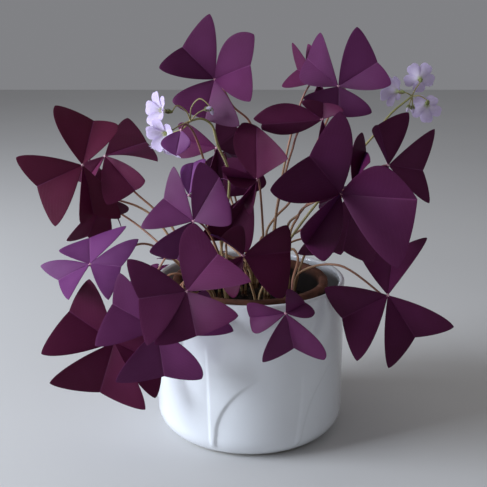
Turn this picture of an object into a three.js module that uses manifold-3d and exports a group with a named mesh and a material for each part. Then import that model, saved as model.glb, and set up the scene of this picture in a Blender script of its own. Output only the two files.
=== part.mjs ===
// Purple shamrock (Oxalis triangularis): a potted plant with three-part purple leaves and two
// umbels of lilac flowers, in a terracotta pot that stands inside a white glazed cachepot.
//
// Units are millimetres, +Z is up, and the origin is the centre of the cachepot's foot.
// The plant's front faces -Y. Each visible leaf is set out as it appears from one viewpoint:
// a place [across, up] lies where the line of sight crosses the mid-plane y = 0, and `near` is how
// far in front of that plane the leaf's hub lies. Depth then follows from the leaf's real size.

import * as THREE from "three";
import { mergeVertices } from "three/addons/utils/BufferGeometryUtils.js";
import Module from "manifold-3d";

const wasm = await Module();
wasm.setup();

// ---------------------------------------------------------------- driving dimensions

const VIEWPOINT = new THREE.Vector3(-5, -635.5, 317);
const UP = new THREE.Vector3(0, 0, 1);
const SEAT_GAP = 0.3;

const cachepot = { radius: 72.5, height: 120, wall: 4, floor: 6, heel: 17, segments: 35, arcSteps: 4 };
// Grass blades raised on the glaze. Each lies between a straight and a curved edge that spread from
// its foot, and is proudest along the straight one: places [degrees round from the front, height].
const relief = {
  blades: [
    {
      height: 1.3,
      straight: [[-23.7, 9], [-24.3, 40], [-24.9, 66], [-26.5, 92]],
      curved: [[-20.6, 9], [-17.8, 33], [-7.5, 53], [10, 69]],
    },
    {
      height: 0.6,
      straight: [[27, 9], [30, 34], [31, 54], [32, 74]],
      curved: [[30, 9], [35, 33], [41, 48], [53, 64]],
    },
  ],
  repeats: 3,
  thickness: 2,
  sunk: 0.4,
  foot: [7, 11],
  fade: [8, 42],
  top: [0.7, 1],
  columns: 3,
  rows: 4,
};
const terracotta = {
  rimRadius: 60,
  rimHeight: 20,
  rimStep: 4.5,
  rimDraft: 0.8,
  bevel: 1.5,
  innerBevel: 1,
  baseRadius: 43,
  height: 113,
  wall: 6.5,
  floor: 7,
  seat: cachepot.floor + SEAT_GAP,
  segments: 30,
};
const soil = { top: 96, dome: 3, lump: 1.1, segments: 27, rings: 4 };

// A leaflet's form as shares of its side: its midrib lies in a fold, as deep as this at the notch.
const blade = {
  thickness: 0.6,
  notch: 0.1,
  fold: 0.15,
  longestRib: 0.92,
  ribArch: 0.015,
  arch: 0.04,
  bow: 0.085,
  lobe: 0.03,
  tip: 0.045,
};
const hubRadius = 1.7;
const petiole = { radius: 0.9, sides: 4, steps: 7 };
// How a stalk sets out from its foot and comes to its leaf: by lengths where it passes set places,
// and otherwise by shares of its span. Its lean is counted in steps from the crown's middle.
const guided = { lean: 3, rise: 20, approach: 12, steps: 9 };
const free = { lean: 4, rise: 0.5, approach: 0.3 };
const knot = { radius: 3.4, topRadius: 2.4, depth: 9, rise: 1.5, sides: 8, foot: 0.45 };
const overLip = { radius: 69, height: 133, below: 150 };
const bloom = {
  petals: 5,
  rim: [0.62, 0.93, 1, 0.93],
  length: 10,
  radius: 12.3,
  flare: 1.6,
  throat: 1.9,
  calyxSide: 1.3,
  throatDepth: 1.3,
  thickness: 0.7,
  rows: [0, 0.4, 0.75, 1],
};
const scape = { radius: 0.95, sides: 4, steps: 11, nodeRadius: 1.7, rise: 25 };
const pedicel = { radius: 0.55, sides: 4, steps: 5, budRadius: 1.7 };
const calyx = { radius: 1.7, depth: 2.4, sides: 5 };

const finish = {
  glaze: { color: 0xe6e9ec, roughness: 0.12, metalness: 0 },
  terracotta: { color: 0x9a5a3c, roughness: 0.85, metalness: 0 },
  soil: { color: 0x241a14, roughness: 0.95, metalness: 0 },
  leaf: { color: 0x4f1c49, roughness: 0.45, metalness: 0 },
  petiole: { color: 0x96705a, roughness: 0.5, metalness: 0 },
  petal: { color: 0xd9c6ea, roughness: 0.6, metalness: 0 },
  stem: { color: 0x8d8f5c, roughness: 0.55, metalness: 0 },
};

// ---------------------------------------------------------------- where the stems stand

// Each crown is a knot of roots in the soil, which a tuft of leaf stalks or a flower stalk leaves.
const crowns = {
  front_left: [-26, -27],
  left: [-38, -4],
  centre_left: [-17, -9],
  centre: [-4, 14],
  front: [6, -30],
  right: [24, -14],
  far_right: [33, 10],
  centre_right: [12, 2],
  back: [4, 35],
  left_flower: [-24, 11],
  right_flower: [22, 26],
};

// ---------------------------------------------------------------- where the leaves are seen

// hub: [across, up], near; size: length of a leaflet's side; each leaflet: its two tips, and where
// it matters the notch between them. A leaf or one place may have a lean: -1 (the usual) bends all
// the way back from the hub, +1 all the way forward, and 0 keeps square to the line of sight. A
// tip's fourth number, if any, is how far the side edge that leads to it bows out.
// `via` lists places [across, up, near] that the leaf's stalk passes, from its foot up.
const leaves = [
  { name: "high_left", crown: "centre", hub: [-26, 269], near: 12, size: 48, leaflets: [
    [[-66, 277, 0.3], [-29, 315, 0.3], [-49, 292]],
    [[2, 301, 1, 0.24], [0, 253, 1], [0, 279]],
    [[-57, 253, 0], [-8, 235, 0.8], [-33, 240]],
  ], via: [[6, 200, -26], [4, 222, -24], [-1, 239, -14], [-13, 250, -4]] },
  { name: "high_right", crown: "centre_right", hub: [64, 264], near: 10, size: 47, leaflets: [
    [[76, 306, 0.5], [102, 265, 0.5], [92, 281]],
    [[50, 302, -0.7], [36, 270, -0.7], [41, 284]],
    [[89, 245, 0.2], [39, 255, 0.2], [65, 242]],
  ], via: [[12.5, 154, -4], [20, 167, -6], [30, 178, -8], [46, 215, -30], [60, 248, -54], [64, 263, -36]] },
  { name: "high_middle", crown: "centre_right", hub: [50, 268], near: -32, size: 44, lean: -0.45, leaflets: [
    [[30, 295], [23, 264], [34, 276]],
    [[42, 294], [48, 282]],
    [[58, 248], [42, 246]],
  ] },
  { name: "middle_right", crown: "centre_right", hub: [53, 240], near: 38, size: 44, lean: -0.4, leaflets: [
    [[3.5, 241, null, 0.24], [11.5, 232, null, 0.19], [8.5, 236.5]],
    [[65, 217], [52, 219]],
    [[38, 253, 0.1], [68, 247, 0.1]],
  ], via: [[18.9, 157, 4], [19.6, 167, 5], [21.7, 179.5, 6], [28, 207, 10], [31, 217, 14], [36, 232, 18]] },
  { name: "big_right", crown: "right", hub: [68, 184], near: 94, size: 60, leaflets: [
    [[15, 187, 0.8, 0.15], [66, 246, 0.8, 0.14], [44, 213]],
    [[39, 157, 0.9], [58, 132, 0.9]],
    [[100, 205, 0.4, 0.09], [114, 126, 0.4], [126, 180]],
  ], via: [[31, 155.5, 20], [36, 166, 27], [38.5, 171.5, 32], [51, 179.5, 62]] },
  { name: "big_far_right", crown: "right", hub: [78, 186], near: 52, size: 56, leaflets: [
    [[82, 230, 0, 0.13], [89, 208, 0.45], [86, 216]],
    [[105, 190], [108, 150]],
    [[36.5, 137.5], [95, 131], [71, 140]],
  ], via: [[29, 160.5, 4], [36.5, 168, 6], [43.5, 176.5, 10], [62, 188, 24]] },
  { name: "low_right", crown: "far_right", hub: [107, 104], near: 44, size: 52, leaflets: [
    [[58, 110, 0.5], [85, 49, 0], [72, 85]],
    [[160, 78], [110, 43], [130, 69]],
    [[135, 150], [82, 146]],
  ] },
  { name: "far_right", crown: "far_right", hub: [103, 206], near: -4, size: 44, lean: -0.6, leaflets: [
    [[116, 245], [90, 231, 0.5], [94, 236]],
    [[136, 233], [135, 177], [129, 202]],
    [[104, 172, 0.2], [80, 198, 0.2]],
  ] },
  { name: "centre_high", crown: "centre_right", hub: [5, 195], near: 46, size: 45, lean: -0.4, leaflets: [
    [[28, 211, 0.6], [-7, 236, -0.6, 0.2], [5, 235]],
    [[-10, 190, 0.3], [-20, 205, 0.6]],
    [[0, 169], [-13, 173]],
  ] },
  { name: "centre_left", crown: "centre_left", hub: [-18, 182], near: -10, size: 42, lean: -0.4, leaflets: [
    [[12, 192], [-16, 211], [2, 208]],
    [[-6, 150, 0], [-34, 160, 0]],
  ] },
  { name: "centre_low", crown: "centre", hub: [1, 186], near: 14, size: 48, lean: -0.3, leaflets: [
    [[-38, 151], [-2, 139], [-20, 148]],
    [[-22, 196], [8, 200]],
  ] },
  { name: "mouth", crown: "front", hub: [-5, 136], near: 60, size: 42, leaflets: [
    [[28, 160, 0], [27, 103, -0.5, 0.22], [31, 139]],
    [[-38, 118, -0.2], [-12, 102, -0.2]],
    [[-30, 152, 0.6], [-8, 160, -0.6]],
  ] },
  { name: "pot_front", crown: "front", hub: [28, 89], near: 98, size: 40, leaflets: [
    [[10, 48], [59, 50, null, 0.27], [35, 60]],
    [[29.5, 109, 0.3], [50, 88.5, 0], [43, 98]],
    [[-1, 97, -0.5], [4, 73, -0.5], [0, 85.5]],
  ], via: [[31.5, 141, 48], [36.5, 135.5, 60], [36, 128, 74], [33, 116, 88]] },
  { name: "mauve_left", crown: "left", hub: [-123, 129], near: 38, size: 40, leaflets: [
    [[-146, 140, -0.7], [-94, 159, null, 0.15], [-122, 150]],
    [[-161, 128], [-141, 100, 1], [-148, 116]],
    [[-85, 149, 1], [-110, 100, 1], [-99, 127]],
  ], via: [[-75, 144, 12], [-88, 144, 14]] },
  { name: "far_left", crown: "left", hub: [-125, 206], near: 34, size: 49, leaflets: [
    [[-143, 250, -1, 0.14], [-97, 235, -0.3, 0.1], [-115, 239]],
    [[-174, 212, 0], [-148, 159, 0], [-160, 190]],
    [[-129, 162, 0], [-98, 166]],
  ], via: [[-70, 163, -10], [-84, 174, -18], [-98, 179, -16], [-107, 182, 4], [-115, 194, 20]] },
  { name: "left_behind", crown: "left", hub: [-108, 213], near: 16, size: 42, leaflets: [
    [[-90, 241], [-69, 209, 0.7, -0.05], [-76.5, 223]],
    [[-79, 195, 0.7], [-108, 176, 0.7], [-86, 187]],
    [[-125, 180], [-136, 198]],
  ], via: [[-59, 158, -6], [-73, 173, -12], [-88, 187, -16]] },
  { name: "left_low", crown: "left", hub: [-109, 181], near: -10, size: 42, lean: -0.5, leaflets: [
    [[-140, 148], [-108, 144]],
    [[-92, 172], [-98, 158]],
    [[-120, 210], [-100, 206]],
  ], via: [[-70, 146, -18], [-88, 162, -34]] },
  { name: "low_left", crown: "front_left", hub: [-107, 65], near: 56, size: 51, leaflets: [
    [[-124, 117, 0.7], [-165, 55, 0.7], [-141, 91]],
    [[-160, 30], [-84, 7], [-120, 22]],
    [[-76, 17, 0.1], [-58, 70, 0.2]],
  ] },
  { name: "front_left", crown: "front_left", hub: [-73, 76], near: 80, size: 46, leaflets: [
    [[-100, 122, 0], [-122, 62, 0], [-107, 97]],
    [[-107, 31], [-38, 34, null, 0.2], [-68, 36]],
    [[-13, 74], [-35, 108, 0.5]],
  ] },
  { name: "front", crown: "front_left", hub: [-49, 107], near: 106, size: 46, leaflets: [
    [[-94, 133, 0.5], [-81, 62, 1], [-86.5, 101]],
    [[-75, 63, 0.4], [-9, 87, 0.5], [-42, 70]],
    [[-42.5, 161.5, null, 0.2], [1, 115, 1], [-24.5, 137]],
  ], via: [[-46, 115, 54], [-52, 111, 74]] },
  { name: "middle_left", crown: "centre_left", hub: [-43, 163], near: 70, size: 41, leaflets: [
    [[-57, 205, -0.4], [-83, 158, -0.4], [-65, 181]],
    [[-38, 208, 0.3], [-14, 165, 0.3, 0.2], [-23, 197]],
    [[-77, 139, -0.3], [-36, 122, -0.1], [-56, 133]],
  ] },
  { name: "young", crown: "centre_left", hub: [-51, 232], near: 64, size: 22, leaflets: [
    [[-66, 221, 0, 0.14], [-45, 220.5, 0.3, 0.14], [-55, 213]],
    [[-57, 225], [-47.5, 225]],
  ] },
  { name: "young_low", crown: "centre_left", hub: [-46, 183], near: 40, size: 27, lean: -0.3, leaflets: [
    [[-51, 204], [-33, 210], [-42, 208]],
    [[-62, 190], [-60, 176]],
    [[-34, 172], [-26, 184]],
  ] },
  { name: "centre_back", crown: "back", hub: [-25, 219], near: -36, size: 44, lean: -0.5, leaflets: [
    [[-53, 236, null, 0.22], [-53, 212]],
    [[-5, 216], [-22, 243], [-8, 232]],
    [[-34, 184], [-12, 190]],
  ] },
];

// Leaves that open away from the front. `at` is the hub [x, y, z]; the three leaflets hang below the
// plane square to `axis` by `droop` degrees, and `turn` degrees turns them about it.
const backLeaves = [
  { name: "back_right", at: [86, 58, 176], axis: [0.4, 0.5, 0.8], droop: 30, turn: 20, size: 36 },
  { name: "back_left", at: [-96, 40, 104], axis: [-0.7, 0.5, 0.5], droop: 28, turn: 50, size: 36 },
  { name: "back_high", at: [-20, 66, 206], axis: [-0.1, 0.4, 0.9], droop: 30, turn: 0, size: 38 },
  { name: "back_middle", at: [90, 90, 138], axis: [0.4, 0.6, 0.7], droop: 26, turn: 95, size: 36 },
  { name: "back_low_left", at: [-58, 85, 106], axis: [-0.4, 0.8, 0.4], droop: 22, turn: 70, size: 42 },
  { name: "back_low", at: [18, 106, 90], axis: [0.05, 0.9, 0.4], droop: 20, turn: 30, size: 42 },
].map((leaf) => ({ crown: "back", ...leaf }));

// ---------------------------------------------------------------- where the flowers are seen

// Places are [across, up, near]. Each pedicel leaves the node and ends in a bloom that faces along
// its axis; each bud hangs on a pedicel of its own.
const umbels = [
  {
    name: "left",
    crown: "left_flower",
    via: [[-16, 200, 13], [-24, 221, 18], [-28.5, 236, 24.5], [-36, 240.5, 29]],
    node: [-44, 239, 30],
    pedicels: [
      { through: [[-47, 246, 32], [-54, 250, 36]], base: [-61, 246, 40], axis: [-0.9, -0.7, 0.25] },
      { through: [[-51, 236, 33]], base: [-60, 231, 48], axis: [-0.65, -1, -0.2] },
      { through: [[-50, 233, 31]], base: [-60, 226, 30], axis: [-0.35, -0.25, -1] },
    ],
    buds: [
      { through: [[-43, 249, 31], [-37, 255, 33], [-31, 251, 35]], tip: [-28.5, 246, 36] },
      { through: [[-38, 245, 34]], tip: [-31, 248, 38] },
    ],
  },
  {
    name: "right",
    crown: "right_flower",
    via: [[60, 190, -30], [86, 222, -34], [92, 229, -34], [103, 244, -34]],
    node: [118, 257, -32],
    pedicels: [
      { through: [[114.5, 259, -30]], base: [109.5, 260, -34], axis: [-0.6, 0.8, 0] },
      { through: [[120, 261.5, -31]], base: [123.5, 268.5, -34], axis: [0.1, 1, 0.15] },
      { through: [[124, 257, -28]], base: [129.5, 252, -30], axis: [0.1, 0.85, -0.5] },
    ],
    buds: [{ through: [], tip: [115.5, 248, -30] }, { through: [], tip: [119, 247.5, -33] }],
  },
];

// ---------------------------------------------------------------- solids

function solidOf(geometry) {
  const bare = geometry.index ? geometry : geometry.clone();
  bare.deleteAttribute("normal");
  bare.deleteAttribute("uv");
  const merged = mergeVertices(bare, 1e-4);
  const mesh = new wasm.Mesh({
    numProp: 3,
    vertProperties: new Float32Array(merged.attributes.position.array),
    triVerts: new Uint32Array(merged.index.array),
  });
  return new wasm.Manifold(mesh);
}

function geometryOf(solid) {
  const mesh = solid.getMesh();
  const geometry = new THREE.BufferGeometry();
  geometry.setAttribute("position", new THREE.BufferAttribute(mesh.vertProperties, 3));
  geometry.setIndex(new THREE.BufferAttribute(mesh.triVerts, 1));
  geometry.computeVertexNormals();
  return geometry;
}

function joined(solids) {
  return solids.reduce((whole, solid) => whole.add(solid));
}

function flipped(geometry) {
  const index = Array.from(geometry.index.array);
  for (let i = 0; i < index.length; i += 3) {
    [index[i], index[i + 1]] = [index[i + 1], index[i]];
  }
  geometry.setIndex(index);
  return geometry;
}

// The solid inside a closed surface, whichever way round its triangles run.
function outwards(geometry) {
  const solid = solidOf(geometry);
  return solid.volume() > 0 ? solid : solidOf(flipped(geometry));
}

function lathe(profile, segments) {
  const points = profile.map(([radius, height]) => new THREE.Vector2(radius, height));
  return new THREE.LatheGeometry(points, segments).rotateX(Math.PI / 2);
}

function turned(profile, segments) {
  return outwards(lathe(profile, segments));
}

function arc(centre, radius, from, to, steps) {
  return Array.from({ length: steps + 1 }, (_, i) => {
    const angle = THREE.MathUtils.degToRad(from + ((to - from) * i) / steps);
    return [centre[0] + radius * Math.cos(angle), centre[1] + radius * Math.sin(angle)];
  });
}

function bead(centre, radius) {
  const geometry = new THREE.OctahedronGeometry(radius, 0);
  geometry.translate(centre.x, centre.y, centre.z);
  return solidOf(geometry);
}

// A straight round piece between two points, which may taper.
function post(from, to, fromRadius, toRadius, sides) {
  const way = to.clone().sub(from);
  const geometry = new THREE.CylinderGeometry(toRadius, fromRadius, way.length(), sides);
  const turn = new THREE.Quaternion().setFromUnitVectors(new THREE.Vector3(0, 1, 0), way.normalize());
  geometry.applyQuaternion(turn);
  const middle = from.clone().lerp(to, 0.5);
  geometry.translate(middle.x, middle.y, middle.z);
  return solidOf(geometry);
}

function tube(points, radius, sides, steps, bezier = false) {
  const section = new THREE.Shape(
    Array.from({ length: sides }, (_, i) => {
      const angle = (2 * Math.PI * i) / sides;
      return new THREE.Vector2(radius * Math.cos(angle), radius * Math.sin(angle));
    }),
  );
  const path = bezier ? new THREE.CubicBezierCurve3(...points) : new THREE.CatmullRomCurve3(points);
  return solidOf(new THREE.ExtrudeGeometry(section, { steps, bevelEnabled: false, extrudePath: path }));
}

// A thin closed sheet from a grid of points. The first row is one point, at the root, and a ringed
// sheet closes round it like a funnel.
function sheet(rows, thickness, ringed = false) {
  const columns = rows[1].length;
  const id = (i, j) => (i === 0 ? 0 : 1 + (i - 1) * columns + (j % columns));
  const points = [rows[0][0], ...rows.slice(1).flat()];
  const faces = [];
  for (let j = 0; j < (ringed ? columns : columns - 1); j += 1) {
    faces.push([0, id(1, j), id(1, j + 1)]);
    for (let i = 1; i < rows.length - 1; i += 1) {
      faces.push([id(i, j), id(i + 1, j), id(i + 1, j + 1)]);
      faces.push([id(i, j), id(i + 1, j + 1), id(i, j + 1)]);
    }
  }
  const normals = points.map(() => new THREE.Vector3());
  for (const [a, b, c] of faces) {
    const normal = points[b].clone().sub(points[a]).cross(points[c].clone().sub(points[a]));
    [a, b, c].forEach((k) => normals[k].add(normal));
  }
  const last = rows.length - 1;
  const edge = rows[last].map((_, j) => id(last, j));
  if (!ringed) {
    for (let i = last - 1; i >= 1; i -= 1) edge.push(id(i, columns - 1));
    edge.push(0);
    for (let i = 1; i < last; i += 1) edge.push(id(i, 0));
  }

  const count = points.length;
  const upper = points.map((p, k) => p.clone().addScaledVector(normals[k].normalize(), thickness / 2));
  const lower = points.map((p, k) => p.clone().addScaledVector(normals[k], -thickness / 2));
  const index = faces.flatMap(([a, b, c]) => [a, b, c, a + count, c + count, b + count]);
  edge.forEach((a, k) => {
    const b = edge[(k + 1) % edge.length];
    index.push(b, a, a + count, b, a + count, b + count);
  });
  const geometry = new THREE.BufferGeometry();
  const positions = [...upper, ...lower].flatMap((p) => [p.x, p.y, p.z]);
  geometry.setAttribute("position", new THREE.Float32BufferAttribute(positions, 3));
  geometry.setIndex(index);
  return outwards(geometry);
}

// ---------------------------------------------------------------- placing by eye

function seen([across, up], near) {
  return new THREE.Vector3(across, 0, up).lerp(VIEWPOINT, near / -VIEWPOINT.y);
}

// The point on the line of sight through [across, up] that lies `length` from the hub.
function reach(hub, [across, up, lean], length, usualLean) {
  const sight = new THREE.Vector3(across, 0, up).sub(VIEWPOINT).normalize();
  const toHub = hub.clone().sub(VIEWPOINT);
  const along = toHub.dot(sight);
  const depth = Math.sqrt(Math.max(length ** 2 - (toHub.lengthSq() - along ** 2), 0));
  return VIEWPOINT.clone().addScaledVector(sight, along - (lean ?? usualLean) * depth);
}

// ---------------------------------------------------------------- leaves

const ribSteps = [0, 0.55, 1];
const spreadSteps = [-1, -0.86, -0.5, 0, 0.5, 0.86, 1];
const leafletSpread = THREE.MathUtils.degToRad(37);

function foldedNotch(hub, tips, facing, size) {
  const middle = tips[0].clone().add(tips[1]).multiplyScalar(0.5);
  return middle.lerp(hub, blade.notch).addScaledVector(facing, -blade.fold * size);
}

// A notch set out by eye lies as deep in the fold, unless that makes the midrib too long.
function notchSeen(hub, facing, place, size, lean) {
  const sight = new THREE.Vector3(place[0], 0, place[1]).sub(VIEWPOINT).normalize();
  const toFold = hub.clone().addScaledVector(facing, -blade.fold * size).sub(VIEWPOINT).dot(facing);
  const notch = VIEWPOINT.clone().addScaledVector(sight, toFold / sight.dot(facing));
  const longest = blade.longestRib * size;
  return notch.distanceTo(hub) < longest ? notch : reach(hub, place, longest, lean);
}

// A leaflet set out by eye: its tips, the notch between them, the way it faces and its sides' bows.
function leafletSeen(hub, [placeA, placeB, placeNotch], size, lean) {
  const tips = [placeA, placeB].map((place) => reach(hub, place, size, lean));
  const bows = [placeA, placeB].map((place) => place[3] ?? blade.bow);
  const facing = tips[0].clone().sub(hub).cross(tips[1].clone().sub(hub)).normalize();
  if (facing.dot(VIEWPOINT.clone().sub(hub)) < 0) facing.negate();
  const notch = placeNotch
    ? notchSeen(hub, facing, placeNotch, size, lean)
    : foldedNotch(hub, tips, facing, size);
  return { tips, notch, facing, bows };
}

// The same for one leaflet of a leaf that opens evenly about an axis.
function leafletAround(hub, axis, angle, droop, size) {
  const sideways = UP.clone().cross(axis).normalize();
  const drop = THREE.MathUtils.degToRad(droop);
  const tips = [-leafletSpread, leafletSpread].map((spread) => {
    const out = sideways.clone().applyAxisAngle(axis, angle + spread).multiplyScalar(Math.cos(drop));
    return hub.clone().addScaledVector(out.addScaledVector(axis, -Math.sin(drop)), size);
  });
  return { tips, notch: foldedNotch(hub, tips, axis, size), facing: axis, bows: tips.map(() => blade.bow) };
}

// A leaflet is two half blades, each from the hub to a rounded tip, that meet in the midrib.
function leafletOf(hub, { tips, notch, facing, bows }, size) {
  const rib = notch.clone().sub(hub);
  const forward = rib.clone().normalize();
  const halves = tips.map((tip, k) => {
    const side = tip.clone().sub(hub);
    const end = tip.clone().sub(notch);
    const upward = rib.clone().cross(side).normalize();
    if (upward.dot(facing) < 0) upward.negate();
    const outward = side.clone().projectOnVector(rib).negate().add(side).normalize();
    const tipPull = side.clone().normalize().add(end.clone().normalize()).setLength(blade.tip * size);
    return { side, outward, tipPull, upward, bow: bows[k] };
  });

  const at = (along, across) => {
    const { side, outward, tipPull, upward, bow } = halves[across < 0 ? 0 : 1];
    const spread = Math.abs(across);
    const swell = 4 * along * (1 - along);
    const toTip = along * spread;
    return hub.clone()
      .addScaledVector(rib, along * (1 - spread))
      .addScaledVector(side, toTip)
      .addScaledVector(outward, bow * size * swell * spread)
      .addScaledVector(forward, blade.lobe * size * 4 * spread * (1 - spread) * along ** 2)
      .addScaledVector(facing, blade.ribArch * size * swell * (1 - spread))
      .addScaledVector(upward, blade.arch * size * swell * spread)
      .addScaledVector(tipPull, toTip - toTip ** 8);
  };
  return sheet(ribSteps.map((along) => spreadSteps.map((across) => at(along, across))), blade.thickness);
}

function leafOf(leaf) {
  const { size } = leaf;
  const hub = leaf.at ? new THREE.Vector3(...leaf.at) : seen(leaf.hub, leaf.near);
  const leaflets = leaf.at
    ? [0, 1, 2].map((k) => {
      const angle = THREE.MathUtils.degToRad(leaf.turn + 120 * k);
      return leafletAround(hub, new THREE.Vector3(...leaf.axis).normalize(), angle, leaf.droop, size);
    })
    : leaf.leaflets.map((places) => leafletSeen(hub, places, size, leaf.lean ?? -1));
  const solids = leaflets.map((one) => leafletOf(hub, one, size));
  const facing = leaflets.reduce((sum, one) => sum.add(one.facing), new THREE.Vector3()).normalize();
  return { leaf, hub, facing, solid: joined([bead(hub, hubRadius), ...solids]) };
}

// ---------------------------------------------------------------- stalks and crowns

function innerRadius(height) {
  const { rimRadius, baseRadius, rimStep, wall, floor, seat } = terracotta;
  const share = (height - floor - seat) / (terracotta.height - floor);
  return THREE.MathUtils.lerp(baseRadius - rimStep, rimRadius - wall, share);
}

function soilRadius(height) {
  return innerRadius(height) - SEAT_GAP;
}

function soilHeight(x, y) {
  const spread = Math.hypot(x, y) / soilRadius(soil.top);
  const lumps = Math.sin(x * 0.33 + 1) * Math.cos(y * 0.29) + Math.sin(x * 0.17 - y * 0.41);
  return soil.top + soil.dome * (1 - spread ** 2) + soil.lump * lumps * (1 - spread ** 6);
}

function soilPoint([x, y]) {
  return new THREE.Vector3(x, y, soilHeight(x, y));
}

function crownOf(place) {
  const top = soilPoint(place);
  top.z += knot.rise;
  return post(top.clone().setZ(top.z - knot.depth), top, knot.radius, knot.topRadius, knot.sides);
}

// The point above the pot's lip that a stalk passes on the straight way from its foot to its end.
function overTheLip(foot, end) {
  const start = new THREE.Vector2(foot.x, foot.y);
  const way = new THREE.Vector2(end.x, end.y).sub(start);
  const along = start.dot(way);
  const missing = start.lengthSq() - overLip.radius ** 2;
  const share = (Math.sqrt(along ** 2 - way.lengthSq() * missing) - along) / way.lengthSq();
  start.addScaledVector(way, share);
  return new THREE.Vector3(start.x, start.y, overLip.height);
}

// A stalk rises from its crown, passes any places it is seen at, or else the lip if its leaf hangs
// outside the pot, and meets the leaf's hub from behind.
function stalkOf({ leaf, hub, facing }) {
  const foot = soilPoint(crowns[leaf.crown]);
  const end = hub.clone().addScaledVector(facing, -(hubRadius + SEAT_GAP));
  const lean = new THREE.Vector3(end.x - foot.x, end.y - foot.y, 0).setLength(knot.radius * knot.foot);
  foot.add(lean);
  const hangs = end.z < overLip.below && Math.hypot(end.x, end.y) > cachepot.radius;
  const passed = leaf.via?.map((place) => seen(place, place[2])) ?? (hangs ? [overTheLip(foot, end)] : []);
  const { radius, sides, steps } = petiole;
  if (passed.length > 0) {
    const rise = foot.clone().addScaledVector(lean, guided.lean).setZ(foot.z + guided.rise);
    const behind = end.clone().addScaledVector(facing, -guided.approach);
    return tube([foot, rise, ...passed, behind, end], radius, sides, guided.steps);
  }
  const span = end.distanceTo(foot);
  const rise = foot.clone().addScaledVector(lean, free.lean).setZ(foot.z + span * free.rise);
  const behind = end.clone().addScaledVector(facing, -span * free.approach);
  return tube([foot, rise, behind, end], radius, sides, steps, true);
}

// ---------------------------------------------------------------- flowers

// A bloom is a funnel whose rim is cut into five lobes, each a little notched at its tip.
function bloomOf(base, axis) {
  const sideways = new THREE.Vector3(0.3, 0.2, 1).cross(axis).normalize();
  const columns = bloom.petals * bloom.rim.length;
  const rows = bloom.rows.map((share) =>
    Array.from({ length: columns }, (_, k) => {
      const along = share * bloom.rim[k % bloom.rim.length];
      const out = sideways.clone().applyAxisAngle(axis, (2 * Math.PI * k) / columns);
      const height = bloom.length * (1 - (1 - along) ** bloom.flare);
      const spread = bloom.radius * along ** bloom.flare;
      return base.clone().addScaledVector(out, spread).addScaledVector(axis, height);
    }),
  );
  const below = base.clone().addScaledVector(axis, -bloom.throatDepth);
  const above = base.clone().addScaledVector(axis, bloom.throatDepth);
  const throat = post(below, above, bloom.calyxSide, bloom.throat, 5);
  return joined([throat, sheet(rows, bloom.thickness, true)]);
}

function umbelOf({ crown, via, node, pedicels, buds }) {
  const place = (point) => seen(point, point[2]);
  const top = place(node);
  const foot = soilPoint(crowns[crown]);
  const rise = foot.clone().setZ(foot.z + scape.rise);
  const path = [foot, rise, ...via.map(place), top];
  const green = [tube(path, scape.radius, scape.sides, scape.steps), bead(top, scape.nodeRadius)];
  const blooms = pedicels.map(({ through, base, axis }) => {
    const throat = place(base);
    const direction = new THREE.Vector3(...axis).normalize();
    const seat = throat.clone().addScaledVector(direction, -(bloom.throatDepth + SEAT_GAP));
    const cup = seat.clone().addScaledVector(direction, -calyx.depth);
    green.push(tube([top, ...through.map(place), cup], pedicel.radius, pedicel.sides, pedicel.steps));
    cup.addScaledVector(direction, -SEAT_GAP);
    green.push(post(cup, seat, pedicel.radius, calyx.radius, calyx.sides));
    return bloomOf(throat, direction);
  });
  for (const { through, tip } of buds) {
    green.push(tube([top, ...through.map(place), place(tip)], pedicel.radius, pedicel.sides, pedicel.steps));
    green.push(bead(place(tip), pedicel.budRadius));
  }
  return { stalk: joined(green), blooms };
}

// ---------------------------------------------------------------- pots and soil

// A grass blade of the relief: a sheet laid into the wall, which sinks back into it away from the
// straight edge and towards the blade's top.
function grassOf({ height, straight, curved }) {
  const { thickness, sunk, foot, fade, top, columns, rows } = relief;
  const { smoothstep, degToRad } = THREE.MathUtils;
  const [left, right] = [straight, curved].map((places) => {
    return new THREE.SplineCurve(places.map(([angle, up]) => new THREE.Vector2(angle, up)));
  });
  const at = (share, part) => {
    const edge = left.getPoint(share);
    const place = edge.clone().lerp(right.getPoint(share), part);
    const away = degToRad(place.x - edge.x) * cachepot.radius;
    const flank = 1 - smoothstep(away, ...fade);
    const rise = smoothstep(place.y, ...foot) * flank * (1 - smoothstep(share, ...top));
    const radius = cachepot.radius - sunk - thickness / 2 + (height + sunk) * rise;
    return new THREE.Vector3(0, -radius, place.y).applyAxisAngle(UP, degToRad(place.x));
  };
  const steps = (count) => Array.from({ length: count + 1 }, (_, i) => i / count);
  return sheet(steps(rows).map((share) => steps(columns).map((part) => at(share, part))), thickness);
}

function cachepotOf() {
  const { radius, height, wall, floor, heel, segments, arcSteps } = cachepot;
  const lip = wall / 2;
  const inside = radius - wall;
  const profile = [
    [0, 0],
    ...arc([radius - heel, heel], heel, -90, 0, arcSteps),
    ...arc([radius - lip, height - lip], lip, 0, 180, arcSteps),
    ...arc([inside - heel + wall, floor + heel - wall], heel - wall, 0, -90, arcSteps - 1),
    [0, floor],
  ];
  const grasses = relief.blades.map(grassOf);
  const rounds = Array.from({ length: relief.repeats }, (_, k) => [0, 0, (360 * k) / relief.repeats]);
  const raised = rounds.flatMap((turn) => grasses.map((one) => one.rotate(turn)));
  return joined([turned(profile, segments), ...raised]);
}

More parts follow.
